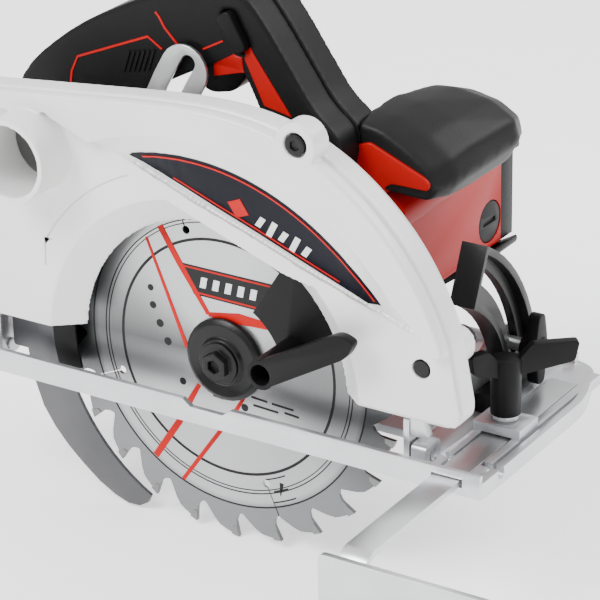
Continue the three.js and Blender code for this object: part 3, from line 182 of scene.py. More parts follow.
def ground_steel_and_painted_reflection():
    """Ground steel with fine rings and broad painted reflections about the axis, darker outside the print."""
    made = shaded("blade_steel", (0.56, 0.57, 0.58), 0.34, 0.85, 900, 0.04, 0.06)
    nodes, links = made.node_tree.nodes, made.node_tree.links
    shader = nodes["Principled BSDF"]
    place = nodes.new("ShaderNodeTexCoord")
    centre = nodes.new("ShaderNodeVectorMath")
    centre.operation = "SUBTRACT"
    centre.inputs[1].default_value = (0, 0, AXIS[1] * MM)
    links.new(place.outputs["Object"], centre.inputs[0])
    flat = nodes.new("ShaderNodeVectorMath")
    flat.operation = "MULTIPLY"
    flat.inputs[1].default_value = (1, 0, 1)
    links.new(centre.outputs["Vector"], flat.inputs[0])
    length = nodes.new("ShaderNodeVectorMath")
    length.operation = "LENGTH"
    links.new(flat.outputs["Vector"], length.inputs[0])
    rings = nodes.new("ShaderNodeTexNoise")
    rings.noise_dimensions = "1D"
    rings.inputs["Scale"].default_value = 2600
    rings.inputs["Detail"].default_value = 4
    links.new(length.outputs["Value"], rings.inputs["W"])
    ramp = nodes.new("ShaderNodeValToRGB")
    ramp.color_ramp.elements[0].position = BLADE_LIGHT_TO
    ramp.color_ramp.elements[1].position = BLADE_DARK_FROM
    ramp.color_ramp.elements[0].color = (0.62, 0.63, 0.64, 1)
    ramp.color_ramp.elements[1].color = (0.30, 0.31, 0.32, 1)
    links.new(length.outputs["Value"], ramp.inputs["Fac"])
    split = nodes.new("ShaderNodeSeparateXYZ")
    links.new(flat.outputs["Vector"], split.inputs["Vector"])
    angle = nodes.new("ShaderNodeMath")
    angle.operation = "ARCTAN2"
    links.new(split.outputs["Z"], angle.inputs[0])
    links.new(split.outputs["X"], angle.inputs[1])
    turn = nodes.new("ShaderNodeMapRange")
    turn.inputs["From Min"].default_value = -math.pi
    turn.inputs["From Max"].default_value = math.pi
    links.new(angle.outputs["Value"], turn.inputs["Value"])
    # Painted reflection: light and dark sectors of the steel by angle round the axis, fixed to the blade.
    painted_reflection = nodes.new("ShaderNodeValToRGB")
    bar = painted_reflection.color_ramp
    bar.elements[0].color = (PAINTED_REFLECTION_STREAKS[0][1],) * 3 + (1,)
    bar.elements[1].color = (PAINTED_REFLECTION_STREAKS[-1][1],) * 3 + (1,)
    for position, value in PAINTED_REFLECTION_STREAKS[1:-1]:
        bar.elements.new(position).color = (value, value, value, 1)
    links.new(turn.outputs["Result"], painted_reflection.inputs["Fac"])

    def multiplied(first, second, factor):
        mix = nodes.new("ShaderNodeMix")
        mix.data_type = "RGBA"
        mix.blend_type = "MULTIPLY"
        mix.inputs["Factor"].default_value = factor
        links.new(first, mix.inputs["A"])
        links.new(second, mix.inputs["B"])
        return mix.outputs["Result"]

    ringed = multiplied(ramp.outputs["Color"], rings.outputs["Color"], 0.35)
    # The painted reflection lightens and darkens the ringed steel.
    with_painted_reflection = multiplied(ringed, painted_reflection.outputs["Color"], 1.0)
    links.new(with_painted_reflection, shader.inputs["Base Color"])
    return made


MATERIALS = {
    "base_aluminium": shaded("base_aluminium", (0.62, 0.63, 0.65), 0.38, 0.75, 700, 0.12, 0.07),
    "guard_paint": shaded("guard_paint", (0.78, 0.78, 0.775), 0.42, 0.1, 1500, 0.1, 0.04, coat=0.1),
    "cast_aluminium": shaded("cast_aluminium", (0.46, 0.47, 0.48), 0.5, 0.8, 600, 0.25, 0.1),
    "zinc_steel": shaded("zinc_steel", (0.58, 0.59, 0.6), 0.32, 0.9, 500, 0.06, 0.1, stretch=(0.15, 1, 1)),
    "blade_steel": ground_steel_and_painted_reflection(),
    "dark_steel": shaded("dark_steel", (0.11, 0.11, 0.115), 0.4, 0.8, 700, 0.08, 0.15),
    "black_steel": shaded("black_steel", (0.006, 0.006, 0.0065), 0.32, 0.0, 1400, 0.12, 0.2, gloss=0.22),
    "black_plastic": shaded("black_plastic", (0.0045, 0.0045, 0.005), 0.42, 0.0, 1300, 0.14, 0.15,
                            gloss=0.14),
    "red_plastic": shaded("red_plastic", (0.36, 0.004, 0.003), 0.36, 0.0, 1300, 0.05, 0.06, gloss=0.12),
    "soft_grip": shaded("soft_grip", (0.006, 0.006, 0.0065), 0.46, 0.0, 1500, 0.2, 0.15, gloss=0.2),
    "copper": shaded("copper", (0.5, 0.2, 0.1), 0.35, 0.9, 800, 0.1, 0.15),
    "carbon": shaded("carbon", (0.03, 0.03, 0.03), 0.7, 0.0, 900, 0.2, 0.2),
    "cream_plastic": shaded("cream_plastic", (0.62, 0.56, 0.42), 0.55, 0.0, 900, 0.1, 0.08),
}
PRINT_BLACK = shaded("print_black", (0.008, 0.008, 0.009), 0.4, 0.0, 900, 0.03, 0.1, gloss=0.2)
PRINT_RED = shaded("print_red", (0.46, 0.005, 0.004), 0.38, 0.0, 900, 0.03, 0.06, gloss=0.12)
PRINT_WHITE = shaded("print_white", (0.72, 0.73, 0.75), 0.38, 0.0, 900, 0.03, 0.04)
LABEL_NAVY = shaded("label_navy", (0.0025, 0.003, 0.0075), 0.35, 0.0, 900, 0.02, 0.15, gloss=0.1)
CARBIDE = shaded("carbide", (0.2, 0.2, 0.2), 0.4, 0.6, 900, 0.1, 0.1)


# ---------------------------------------------------------------- outlines
def polar(angle, radius, centre=AXIS):
    a = math.radians(angle)
    return (centre[0] + radius * math.cos(a), centre[1] + radius * math.sin(a))


def arc(centre, radius, start, end, count):
    return [polar(start + (end - start) * i / (count - 1), radius, centre) for i in range(count)]


def curve(controls, count):
    """Points along a Bezier curve of any degree, without its first point."""
    found = []
    for i in range(1, count + 1):
        t = i / count
        points = [Vector(c) for c in controls]
        while len(points) > 1:
            points = [a.lerp(b, t) for a, b in zip(points, points[1:])]
        found.append(tuple(points[0]))
    return found


def rounded(points, radius, steps=5):
    """The polygon with round corners; a point may carry its own radius as a third number."""
    found = []
    count = len(points)
    for i, point in enumerate(points):
        here = Vector(point[:2])
        before = Vector(points[i - 1][:2]) - here
        after = Vector(points[(i + 1) % count][:2]) - here
        wanted = point[2] if len(point) > 2 else radius
        reach = min(wanted, 0.48 * before.length, 0.48 * after.length)
        start = here + before.normalized() * reach
        found.append(tuple(start))
        found += curve([start, here, here + after.normalized() * reach], steps)
    return found


def ribbon(points, width):
    """Outline of a stroke of that width along the points. Width may be one number per point."""
    widths = width if isinstance(width, (list, tuple)) else [width] * len(points)
    left, right = [], []
    for i, point in enumerate(points):
        here = Vector(point)
        ahead = Vector(points[min(i + 1, len(points) - 1)]) - Vector(points[max(i - 1, 0)])
        side = Vector((-ahead.y, ahead.x)).normalized() * widths[i] / 2
        left.append(tuple(here + side))
        right.append(tuple(here - side))
    return left + right[::-1]


def resampled(points, count):
    lengths = [0.0]
    for a, b in zip(points, points[1:]):
        lengths.append(lengths[-1] + (Vector(b) - Vector(a)).length)
    found = []
    k = 0
    for i in range(count):
        want = lengths[-1] * i / (count - 1)
        while k < len(points) - 2 and lengths[k + 1] < want:
            k += 1
        span = lengths[k + 1] - lengths[k]
        found.append(tuple(Vector(points[k]).lerp(Vector(points[k + 1]), (want - lengths[k]) / span)))
    return found


# ---------------------------------------------------------------- solids
AXES = {"x": lambda u, v, w: (w, u, v), "y": lambda u, v, w: (u, w, v), "z": lambda u, v, w: (u, v, w)}


def solid(name, points, faces):
    mesh = bpy.data.meshes.new(name)
    mesh.from_pydata(points, [], faces)
    shape = bmesh.new()
    shape.from_mesh(mesh)
    bmesh.ops.recalc_face_normals(shape, faces=shape.faces)
    if shape.calc_volume(signed=True) < 0:
        bmesh.ops.reverse_faces(shape, faces=shape.faces)
    shape.to_mesh(mesh)
    shape.free()
    made = bpy.data.objects.new(name, mesh)
    SCENE.collection.objects.link(made)
    return made


def loft(name, rings):
    """Closed solid through rings of equal length."""
    size = len(rings[0])
    points = [p for ring in rings for p in ring]
    faces = [tuple(range(size))[::-1], tuple(range(len(points) - size, len(points)))]
    for k in range(len(rings) - 1):
        for i in range(size):
            j = (i + 1) % size
            faces.append((k * size + i, k * size + j, (k + 1) * size + j, (k + 1) * size + i))
    return solid(name, points, faces)


def prism(name, outline, axis, low, high):
    place = AXES[axis]
    return loft(name, [[place(u, v, w) for u, v in outline] for w in (low, high)])


def rod(name, radius, axis, low, high, centre, sides=48):
    return prism(name, arc(centre, radius, 0, 360 * (sides - 1) / sides, sides), axis, low, high)


def cone(name, low_radius, high_radius, low, high, centre=AXIS, sides=96):
    end = 360 * (sides - 1) / sides
    return loft(name, [[(x, y, z) for x, z in arc(centre, radius, 0, end, sides)]
                       for radius, y in ((low_radius, low), (high_radius, high))])


def block(name, low, high):
    outline = [(low[0], low[1]), (high[0], low[1]), (high[0], high[1]), (low[0], high[1])]
    return prism(name, outline, "z", low[2], high[2])


def bake(shape):
    """Applies the object's modifiers."""
    graph = bpy.context.evaluated_depsgraph_get()
    mesh = bpy.data.meshes.new_from_object(shape.evaluated_get(graph))
    shape.modifiers.clear()
    shape.data = mesh
    return shape


def carve(base, tools, mode="DIFFERENCE"):
    for tool in tools:
        step = base.modifiers.new("carve", "BOOLEAN")
        step.solver = "MANIFOLD"
        step.operation = mode
        step.object = tool
    bake(base)
    for tool in tools:
        bpy.data.objects.remove(tool)
    return base


def softened(shape, width=0.8, segments=3, angle=30):
    step = shape.modifiers.new("edges", "BEVEL")
    step.width = width
    step.segments = segments
    step.angle_limit = math.radians(angle)
    step.use_clamp_overlap = True
    return bake(shape)


def melted(shape, voxel, passes, keep=1.0, factor=0.5):
    """Remeshed evenly and smoothed, so that every edge becomes a soft round."""
    step = shape.modifiers.new("even", "REMESH")
    step.mode = "VOXEL"
    step.voxel_size = voxel
    step = shape.modifiers.new("soft", "SMOOTH")
    step.iterations = passes
    step.factor = factor
    if keep < 1:
        step = shape.modifiers.new("thin", "DECIMATE")
        step.ratio = keep
    return bake(shape)


def finish(shape, slot, body, nodes=(), smooth=35, paint=None):
    """Scales the piece into the row frame, shades it, paints it and lets it ride on its body."""
    mesh = shape.data
    mesh.transform(Matrix.Translation((0, BLADE_FACE, 0)) @ Matrix.Scale(MM, 4))
    mesh.shade_smooth()
    mesh.set_sharp_from_angle(angle=math.radians(smooth))
    mesh.materials.clear()
    mesh.materials.append(paint or MATERIALS[slot])
    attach(shape, body)
    if nodes:
        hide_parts(*nodes)
    return shape


def cad_copy(node, name):
    """The CAD node's shape in this script's millimetres, with its flat faces merged."""
    source = frame["nodes"][node]
    mesh = source.data.copy()
    mesh.transform(source.matrix_world)
    mesh.transform(Matrix.Scale(1 / MM, 4) @ Matrix.Translation((0, -BLADE_FACE, 0)))
    shape = bmesh.new()
    shape.from_mesh(mesh)
    bmesh.ops.remove_doubles(shape, verts=shape.verts, dist=0.005)
    bmesh.ops.dissolve_limit(shape, angle_limit=math.radians(1.5), verts=shape.verts, edges=shape.edges)
    for face in shape.faces:
        face.smooth = True
    shape.to_mesh(mesh)
    shape.free()
    made = bpy.data.objects.new(name, mesh)
    SCENE.collection.objects.link(made)
    return made


# ---------------------------------------------------------------- thin pieces laid on a surface
def tree_of(shape):
    return BVHTree.FromPolygons([v.co.copy() for v in shape.data.vertices],
                                [tuple(p.vertices) for p in shape.data.polygons])


def draped(name, outline, tree, proud=0.3, cell=3.0, fallback=0.0, deep=0.8):
    """A thin skin over the outline in (x, z), laid along +y onto the surface of the tree."""
    sheet = bmesh.new()
    corners = [sheet.verts.new((x, 0, z)) for x, z in outline]
    face = sheet.faces.new(corners)
    bmesh.ops.triangulate(sheet, faces=[face])
    for axis in (0, 2):
        low = min(v.co[axis] for v in sheet.verts)
        high = max(v.co[axis] for v in sheet.verts)
        normal = Vector((1, 0, 0)) if axis == 0 else Vector((0, 0, 1))
        for k in range(1, int((high - low) / cell) + 1):
            parts = sheet.verts[:] + sheet.edges[:] + sheet.faces[:]
            bmesh.ops.bisect_plane(sheet, geom=parts, plane_co=normal * (low + k * cell), plane_no=normal)
    front = {}
    for v in sheet.verts:
        hit = tree.ray_cast(Vector((v.co.x, -200, v.co.z)), Vector((0, 1, 0)))
        front[v] = hit[0].y if hit[0] is not None else fallback
    for v, y in front.items():
        v.co.y = y - proud
    lifted = bmesh.ops.extrude_face_region(sheet, geom=sheet.faces[:])
    for v in (g for g in lifted["geom"] if isinstance(g, bmesh.types.BMVert)):
        v.co.y += proud + deep
    bmesh.ops.recalc_face_normals(sheet, faces=sheet.faces)
    mesh = bpy.data.meshes.new(name)
    sheet.to_mesh(mesh)
    sheet.free()
    made = bpy.data.objects.new(name, mesh)
    SCENE.collection.objects.link(made)
    return made


# ---------------------------------------------------------------- upper guard
# Set-back levels along y, heights of the feet, and radii of the round features.
GUARD_NEAR, LOWER_FACE, DISH_FLOOR = -28.0, -22.0, -17.5
FOOT_FRONT, FOOT_REAR, FRONT_FOOT_TOP = 32.4, 33.5, 70.0
FOOT_CHAMFER = 2.8
# How far the rim stands out at each y, as a scale about the blade's axis. It has one groove.
RIM_PROFILE = [(-28, 0.991), (-27.2, 0.997), (-26, 1), (-21.6, 1), (-21, 0.997), (-20.8, 0.984),
               (-19, 0.984), (-18.6, 0.995), (-17.8, 0.998), (-7, 0.997), (-4, 0.984), (0, 0.964),
               (5, 0.936), (10, 0.911), (13, 0.893)]
# The edge across the near face, in (x, z). Everything below it is set back.
RIDGE = [(-88, 153), (-76, 144.6), (-57.3, 137.2), (-32.4, 128.2), (-2.3, 116.4), (26.8, 106.7),
         (55.4, 96.1), (82.6, 86.9), (108.3, 78.6), (127, 73.2)]
PORT, PIVOT, BOSS = (-89.0, 126.0), (119.0, 60.0), (59.0, 156.6)
GUARD_WALL, WINDOW_RADIUS, SCREW_RADIUS = 3.4, 73, 3.3
PORT_RADIUS, PORT_BORE = 20.5, 17.5
SEAM = [(-87.6, 65.8), (-87.2, 80.4), (-82.5, 80.3)] + arc(AXIS, 100.5, 150, 111.5, 20)


def guard_outline(inset):
    """The guard's side view, moved inwards by the inset."""
    rim = 140 - inset
    outline = [(66 + inset, FOOT_FRONT), (130 - inset, FOOT_FRONT)]
    outline += curve([outline[-1], (139 - inset, FOOT_FRONT), (138.4 - inset, 42)], 6)
    outline += arc(AXIS, rim, 19, 52, 30)
    outline += curve([outline[-1], (50.7, 166.3 - inset), (14.8, 165.1 - inset), (-35, 160.2 - inset)], 24)
    outline.append((-128, 150.5 - inset))
    outline += curve([outline[-1], (-150 + inset, 148 - inset), (-152 + inset, 128)], 10)
    outline.append((-152 + inset, 46))
    outline += curve([outline[-1], (-152 + inset, FOOT_REAR), (-140 + inset, FOOT_REAR)], 6)
    outline.append((-68 - inset, FOOT_REAR))
    return outline


def rim_scale(y):
    if y <= RIM_PROFILE[0][0]:
        return RIM_PROFILE[0][1]
    for (y0, s0), (y1, s1) in zip(RIM_PROFILE, RIM_PROFILE[1:]):
        if y <= y1:
            return s0 + (s1 - s0) * (y - y0) / (y1 - y0)
    return RIM_PROFILE[-1][1]


def drum(name, inset, stations):
    rings = []
    for y in stations:
        s = rim_scale(y)
        rings.append([(x * s, y, AXIS[1] + (z - AXIS[1]) * (s if z > FOOT_REAR + 1 else 1))
                      for x, z in guard_outline(inset)])
    return loft(name, rings)


def dish_cutter():
    """The hollow that slopes in from the rim band to the ridge."""
    count = 40
    upper = arc((-0.5, 19.6), 128.8, 113.8, 33.8, count)
    lower = resampled([(-54, 136)] + RIDGE[3:], count)
    rings = []
    for i, (high, low) in enumerate(zip(upper, lower)):
        inner = max(0.1, min(1, min(i, count - 1 - i) / 6))
        deep = LOWER_FACE + (DISH_FLOOR - LOWER_FACE) * inner
        rings.append([(high[0], -45, high[1]), (high[0], GUARD_NEAR - 0.1, high[1]),
                      (low[0] - inner, deep, low[1] - 2 * inner), (low[0], LOWER_FACE, low[1]),
                      (low[0], -45, low[1])])
    return loft("dish", rings)


def make_guard():
    shell = drum("upper_guard_shell", 0, [y for y, _ in RIM_PROFILE])
    below = RIDGE + [(160, FRONT_FOOT_TOP), (160, 10), (-175, 10), (-175, 161), (-96, 161)]
    recess = carve(prism("recess", guard_outline(9), "y", -50, LOWER_FACE),
                   [block("front_foot", (60, -50, 10), (150, LOWER_FACE, FRONT_FOOT_TOP))], "UNION")
    carve(recess, [prism("below_ridge", below, "y", -51, LOWER_FACE + 1)], "INTERSECT")
    room = drum("room", GUARD_WALL, [-14.5, -7, 0, 10])
    carve(shell, [recess, room])
    carve(shell, [cone("funnel_skin", 91, 76, LOWER_FACE, -10.5)], "UNION")
    carve(shell, [dish_cutter()])
    above_chord = [(-16.5, 113.5), (18.8, 100.5), (46.5, 90.4), (62, 87), (62, 140), (-60, 140), (-60, 119)]
    funnel = carve(cone("funnel", 89, WINDOW_RADIUS, LOWER_FACE - 1.4, -10.4),
                   [prism("above_chord", above_chord, "y", -60, -12)])
    carve(shell, [funnel, rod("window", WINDOW_RADIUS, "y", -60, -6, AXIS, 128)])
    lobe = rounded([(-34, 42), (-30, 1, 12), (30, 1, 12), (34, 42)], 2)
    carve(shell, [rod("port_tube", PORT_RADIUS, "y", -45, -15, PORT, 64),
                  rod("boss", 10.5, "y", -28.4, -16, BOSS), rod("pivot_boss", 9, "y", -16, -8, PIVOT),
                  rod("far_boss", 9, "y", 3, 12, PIVOT), prism("lobe", lobe, "y", 10, 13)], "UNION")
    foot_edge = [(LOWER_FACE - 1, FOOT_FRONT - 1), (LOWER_FACE - 1, FOOT_FRONT + FOOT_CHAMFER + 1),
                 (LOWER_FACE + FOOT_CHAMFER + 1, FOOT_FRONT - 1)]
    carve(shell, [rod("port_bore", PORT_BORE, "y", -60, 0, PORT, 64),
                  block("open_rear", (-175, -60, -90), (60, 9.99, FOOT_REAR + 0.2)),
                  block("open_front", (59.5, -60, -90), (175, 9.99, FOOT_FRONT + 0.2)),
                  block("knife_slot", (-128, -12, 0), (-92, 9.5, 36)),
                  rod("nose_hole", 18.5, "y", 0, 20, AXIS), rod("pivot_hole", 4.6, "y", -60, 20, PIVOT),
                  rod("boss_hole", 5.8, "y", -60, -25, BOSS),
                  rod("boss_bore", SCREW_RADIUS, "y", -60, 20, BOSS),
                  prism("foot_chamfer", foot_edge, "x", 60, 150)])
    melted(shell, 0.75, 2, 0.45)
    return carve(shell, [prism("seam", ribbon(SEAM, 0.9), "y", LOWER_FACE - 1, LOWER_FACE + 0.7)])


guard = make_guard()
guard_tree = tree_of(guard)
LABEL_CENTRE, LABEL_RADIUS = (-0.3, 22.7), 115.9
LABEL_FOOT = [(90, 84.2), (74.9, 89.8), (54, 97.6), (32.8, 105.7), (11.3, 113.6), (-12.7, 123.1),
              (-35.8, 132)]
LABEL_PROUD, LABEL_PRINT_PROUD, PIPING_WIDTH = 0.25, 0.5, 0.9
label = draped("guard_label", arc(LABEL_CENTRE, LABEL_RADIUS, 106.7, 32.6, 40) + LABEL_FOOT, guard_tree,
               LABEL_PROUD)
finish(label, "black_plastic", "saw_body", paint=LABEL_NAVY)
LABEL_PIPING = {
    "guard_label_piping": arc(LABEL_CENTRE, LABEL_RADIUS - 2.2, 104, 34, 40),
    "guard_label_lower_piping": [(x + 0.6, z + 1.9) for x, z in LABEL_FOOT[1:-1]],
}
for name, line in LABEL_PIPING.items():
    piping = draped(name, ribbon(line, PIPING_WIDTH), guard_tree, LABEL_PRINT_PROUD)
    finish(piping, "red_plastic", "saw_body", paint=PRINT_RED)


def on_label(along, up):
    """A place on the label, measured along its straight foot and square to it."""
    start, slope = Vector((26.0, 107.5)), Vector((0.93, -0.36)).normalized()
    return tuple(start + along * slope + up * Vector((-slope.y, slope.x)))


LABEL_MIDDLE = 8
lozenge = draped("guard_label_lozenge", [on_label(-12, LABEL_MIDDLE), on_label(-6, LABEL_MIDDLE + 6),
                                         on_label(0, LABEL_MIDDLE), on_label(-6, LABEL_MIDDLE - 6)],
                 guard_tree, LABEL_PRINT_PROUD)
finish(lozenge, "red_plastic", "saw_body", paint=PRINT_RED)
for i, length in enumerate((6.5, 9.5, 6.5, 9.5, 6.5)):
    left, low, high = 4 + 6.5 * i, LABEL_MIDDLE - length / 2, LABEL_MIDDLE + length / 2
    bar = draped(f"guard_label_bar_{i}", [on_label(left, low), on_label(left + 3, low),
                                          on_label(left + 5, high), on_label(left + 2, high)],
                 guard_tree, LABEL_PRINT_PROUD)
    finish(bar, "cream_plastic", "saw_body", paint=PRINT_WHITE)
finish(guard, "guard_paint", "saw_body", ["upper_guard"], 32)


# ---------------------------------------------------------------- blade with its print
TEETH = 24
FIRST_TIP = 212.5
STEP = 360 / TEETH
PLATE, BORE_RADIUS = 1.6, 15
# One tooth and its gullet: radius, and degrees back from the tip.
TOOTH = [(94.6, 0), (93.6, 2.5), (92.4, 5), (91.4, 6.8), (88.5, 9), (83.7, 12), (82.2, 13), (82.1, 13.8),
         (83.6, 15), (86.5, 15.75)]
SLOTS, FIRST_SLOT, SLOT_END, SLOT_RIM = 4, 288.6, 65, 86


def make_blade():
    outline = []
    for i in range(TEETH):
        tip = FIRST_TIP - i * STEP
        outline += [polar(tip - back, radius) for radius, back in TOOTH]
    blade = prism("saw_blade_plate", outline, "y", 0, PLATE)
    slots = []
    for i in range(SLOTS):
        angle = FIRST_SLOT + 360 / SLOTS * i
        line = [polar(angle, SLOT_END), polar(angle + 1.2, SLOT_RIM)]
        slots.append(rod(f"slot_end_{i}", 2.1, "y", -2, 4, line[0], 24))
        slots.append(prism(f"slot_{i}", ribbon(line, 0.8), "y", -2, 4))
    carve(blade, slots + [rod("bore", BORE_RADIUS, "y", -2, 4, AXIS, 48)])
    return blade


finish(make_blade(), "blade_steel", "spindle", ["saw_blade"], 25)
tips = []
for i in range(TEETH):
    tip = FIRST_TIP - i * STEP
    corner = [polar(tip, 95), polar(tip - 2.6, 94.3), polar(tip - 2.0, 90), polar(tip - 0.6, 89.4)]
    tips.append(prism(f"tip_{i}", corner, "y", -0.3, 1.9))
carbide_tips = carve(tips[0], tips[1:], "UNION")
carbide_tips.name = "carbide_tips"
finish(carbide_tips, "blade_steel", "spindle", paint=CARBIDE)


PRINT_BACK = -0.01


def ring(name, inner, outer, near=-0.12, far=PRINT_BACK, start=0, end=360):
    """A flat ring or sector on the blade's outer face."""
    count = 97
    rings = []
    for i in range(count - (1 if end - start == 360 else 0)):
        a = start + (end - start) * i / (count - 1)
        (x0, z0), (x1, z1) = polar(a, inner), polar(a, outer)
        rings.append([(x0, near, z0), (x1, near, z1), (x1, far, z1), (x0, far, z0)])
    if end - start < 360:
        return loft(name, rings)
    points = [p for r in rings for p in r]
    faces = []
    for k in range(len(rings)):
        n = (k + 1) % len(rings)
        for i in range(4):
            j = (i + 1) % 4
            faces.append((k * 4 + i, k * 4 + j, n * 4 + j, n * 4 + i))
    return solid(name, points, faces)


def printed(name, shapes, paint, slot="black_plastic"):
    """Joins flat shapes into one print that turns with the blade."""
    whole = shapes[0]
    if len(shapes) > 1:
        with bpy.context.temp_override(active_object=whole, selected_editable_objects=shapes):
            bpy.ops.object.join()
    whole.name = name
    return finish(whole, slot, "spindle", paint=paint)


def stroke(name, points, width, near=-0.13):
    return prism(name, ribbon(points, width), "y", near, PRINT_BACK)


printed("blade_rings", [ring("r0", 59.3, 60.7), ring("r1", 68.1, 68.6), ring("r2", 69.8, 70.4),
                        ring("r3", 77.0, 77.8)], PRINT_BLACK)
printed("blade_red_lines", [
    stroke("a", [(-35.7, 89.2), (-25.5, 72.7), (-9.6, 49.1)], [3.4, 3.4, 2.2], -0.2),
    stroke("b", [(-43.8, 81.6), (-33, 55), (-22.5, 28.6)], [1.4, 1.8, 2.2], -0.2),
    stroke("c", [(-9.6, 49.1), (8, 50.5), (28, 50.3)], [2.0, 5.5, 3.2], -0.21),
    stroke("d", [(-16.3, 10.6), (-21.6, 1.5), (-28.9, -12.3), (-43.7, -34.4)], [2.2, 3.0, 3.4, 3.4], -0.2),
    stroke("e", [(9.6, 10.2), (3.9, 1.0), (-5.4, -12), (-27.8, -43.3)], [1.6, 2.2, 2.2, 2.0], -0.2)],
    PRINT_RED, "red_plastic")
BLADE_BAND = [(-26, 72.6), (-17.4, 57.7), (29.1, 56.9), (30.8, 72.3)]
printed("blade_band", [prism("band", BLADE_BAND, "y", -0.16, PRINT_BACK)], PRINT_BLACK)
printed("blade_band_edges", [stroke("f", [(-17.0, 59.0), (29.2, 58.2)], 0.9, -0.22),
                             stroke("g", [(-25.6, 71.3), (30.6, 71.0)], 0.9, -0.22)],
        PRINT_RED, "red_plastic")
printed("blade_arrow", [ring("h", 62.5, 63.2, start=289, end=300),
                        ring("i", 74.6, 75.3, start=289, end=300),
                        stroke("j", [polar(296.5, 66), polar(293.5, 72)], [2.4, 0.4]),
                        stroke("k", [polar(298.5, 69.5), polar(291.0, 69.5)], 0.8)], PRINT_BLACK)

marks = [rod(f"dot_{i}", size, "y", -0.13, PRINT_BACK, place, 12) for i, (place, size) in enumerate((
    ((-42.6, 55.7), 1.7), ((-41.6, 46.8), 1.9), ((-37.9, 38.0), 2.1), ((-33.7, 29.4), 2.1),
    ((-25.8, 10.1), 1.9), ((9.6, 4.6), 2.0)))]
marks += [stroke(f"dash_{i}", [(x, z), (x + length, z - 0.6)], 1.1) for i, (x, z, length) in enumerate((
    (13.4, 11.3, 9), (25.0, 10.5, 12), (14.5, 7.2, 14), (32.0, 7.4, 8), (-8.5, 6.9, 6)))]
printed("blade_marks", marks, PRINT_BLACK)
blocks = [prism(f"block_{i}", [(x, 62), (x + 3.4, 62), (x + 4.6, 67.5), (x + 1.2, 67.5)], "y", -0.24,
                PRINT_BACK) for i, x in enumerate((-14, -7, 0, 7, 14))]
printed("blade_band_blocks", blocks, PRINT_WHITE, "cream_plastic")


# ---------------------------------------------------------------- pieces taken from the CAD shapes
# The round put on each piece's edges.
SOFT_EDGES = {
    "base_plate": 0.6, "bevel_quadrant": 0.6, "tilt_frame": 0.5, "depth_guide": 0.35, "rip_fence": 0.5,
    "fence_wing_screw": 1.2, "bevel_wing_nut": 1.0, "outer_flange": 0.4, "blade_bolt": 0.4,
    "riving_knife": 0.3, "lower_guard": 0.3, "guard_lever": 1.2, "motor_end_cap": 0.8,
    "brush_cap_front": 0.6, "motor_housing": 1.8, "gear_housing": 1.0, "bearing_plate": 0.6,
    "guard_screw": 0.3, "trigger": 1.5, "depth_lock_lever": 1.4, "cord_gland": 1.0, "fence_shoe": 0.5,
    "knife_screw": 0.4, "brush_cap_rear": 0.6, "lock_off_button": 0.8, "spindle_lock_button": 0.8,
    "bevel_bolt": 0.3, "fence_bolt": 0.3,
}
for node, width in SOFT_EDGES.items():
    copy = softened(cad_copy(node, node + "_finished"), width)
    finish(copy, SLOT_OF[node], BODY_OF[node], [node], 35)

HANDLE_VOXEL, HANDLE_PASSES, HANDLE_FACE = 1.3, 8, 34
near_half, far_half = [melted(cad_copy(node, node + "_finished"), HANDLE_VOXEL, HANDLE_PASSES, 0.6)
                       for node in ("handle_near_half", "handle_far_half")]
near_tree = tree_of(near_half)
finish(far_half, "black_plastic", "saw_body", ["handle_far_half"], 50)

HANDLE_RED = {
    "strip": [(-8, 171), (-3, 173), (19, 143), (4, 146)],
    "crossbar": [(-25, 161), (-8, 171), (-7, 160), (-25, 155)],
    "grip_piping": ribbon([(-108, 138), (-107, 144), (-103, 152), (-61, 169), (-53, 164)], 1.1),
    "upper_piping": ribbon([(-56, 182), (-54, 180), (-51, 175), (-44, 168)], 1.1),
    "thumb_piping": ribbon([(-29.5, 168), (-18, 174)], 0.9),
    "lock_piping": ribbon([(-16.5, 184), (-15, 187.5), (-12, 187.5), (-7, 178), (-6, 171)], 1.1),
}
for name, outline in HANDLE_RED.items():
    inlay = draped("handle_" + name, outline, near_tree, 0.35, 3, HANDLE_FACE)
    finish(inlay, "red_plastic", "saw_body", paint=PRINT_RED if "piping" in name else None)
for i in range(6):
    left = -76 + 2.9 * i
    line = [(left, 149 + 0.6 * i), (left + 4, 160 + 0.6 * i)]
    rib = draped(f"handle_rib_{i}", ribbon(line, 1.2), near_tree, 0.7, 3, HANDLE_FACE)
    finish(rib, "black_plastic", "saw_body")
finish(near_half, "black_plastic", "saw_body", ["handle_near_half"], 50)

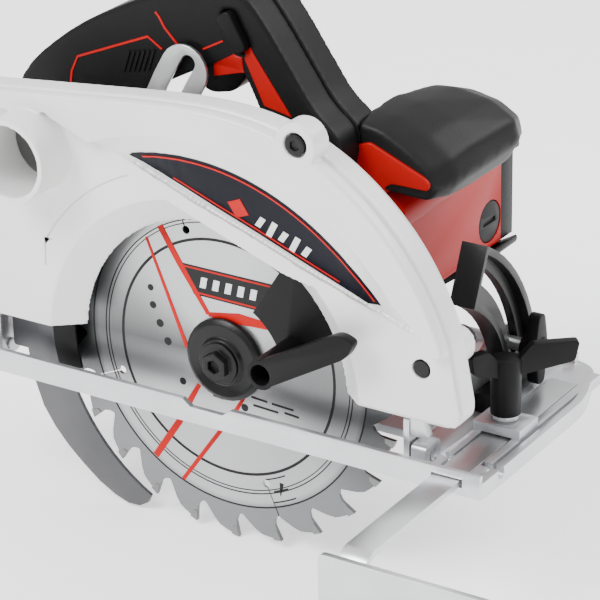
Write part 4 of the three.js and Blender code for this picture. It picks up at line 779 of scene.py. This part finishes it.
# Cross sections of the pommel from its near end to its far end: the place along y, then its outline
# in (x, z).
POMMEL = [
    (49.5, [(44, 139), (56, 137), (71, 129), (81, 122), (85, 113), (81, 107), (60, 107.5), (45, 111)]),
    (62, [(43, 142), (58, 141), (75, 134), (87, 125), (91, 114), (85, 105.5), (61, 105.5), (43, 109)]),
    (80, [(44, 143), (60, 143), (78, 137), (90, 128), (93, 116), (86, 105), (62, 104), (44, 107)]),
    (110, [(48, 140), (62, 141), (80, 138), (94, 130), (97, 120), (90, 108), (64, 103), (48, 106)]),
    (126, [(52, 134), (64, 135), (78, 132), (88, 126), (90, 118), (84, 109), (66, 106), (54, 110)]),
]
pommel = loft("pommel_finished", [[(x, y, z) for x, z in section] for y, section in POMMEL])
melted(pommel, 1.6, 12, 0.6)
finish(pommel, "soft_grip", "saw_body", ["pommel_grip"], 60)
SIDE_PANEL = [(28, 118), (34, 125), (51, 131), (80, 119), (83, 116), (82, 112.5), (62, 112.5), (58, 109),
              (56, 104), (40, 96), (28, 100)]
side_panel = softened(prism("pommel_side_panel", rounded(SIDE_PANEL, 2), "y", 48, 60), 0.8)
finish(side_panel, "red_plastic", "saw_body")

for node, shape in frame["nodes"].items():
    shape.data.materials.clear()
    shape.data.materials.append(MATERIALS[SLOT_OF[node]])

# ---------------------------------------------------------------- floor
FLOOR_HALF, FLOOR_GAP = 6, 0.0005
floor_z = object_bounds()[0].z - FLOOR_GAP
mesh = bpy.data.meshes.new("floor")
mesh.from_pydata([(x * FLOOR_HALF, y * FLOOR_HALF, floor_z) for x, y in ((-1, -1), (1, -1), (1, 1), (-1, 1))],
                 [], [(0, 1, 2, 3)])
floor = bpy.data.objects.new("floor", mesh)
SCENE.collection.objects.link(floor)
floor_paint = shaded("floor_white", (0.93, 0.93, 0.93), 0.8, 0.0, 60, 0.0, 0.01, gloss=0.1)
floor_shader = floor_paint.node_tree.nodes["Principled BSDF"]
floor_shader.inputs["Emission Color"].default_value = (1, 1, 1, 1)
floor_shader.inputs["Emission Strength"].default_value = 0.7
mesh.materials.append(floor_paint)
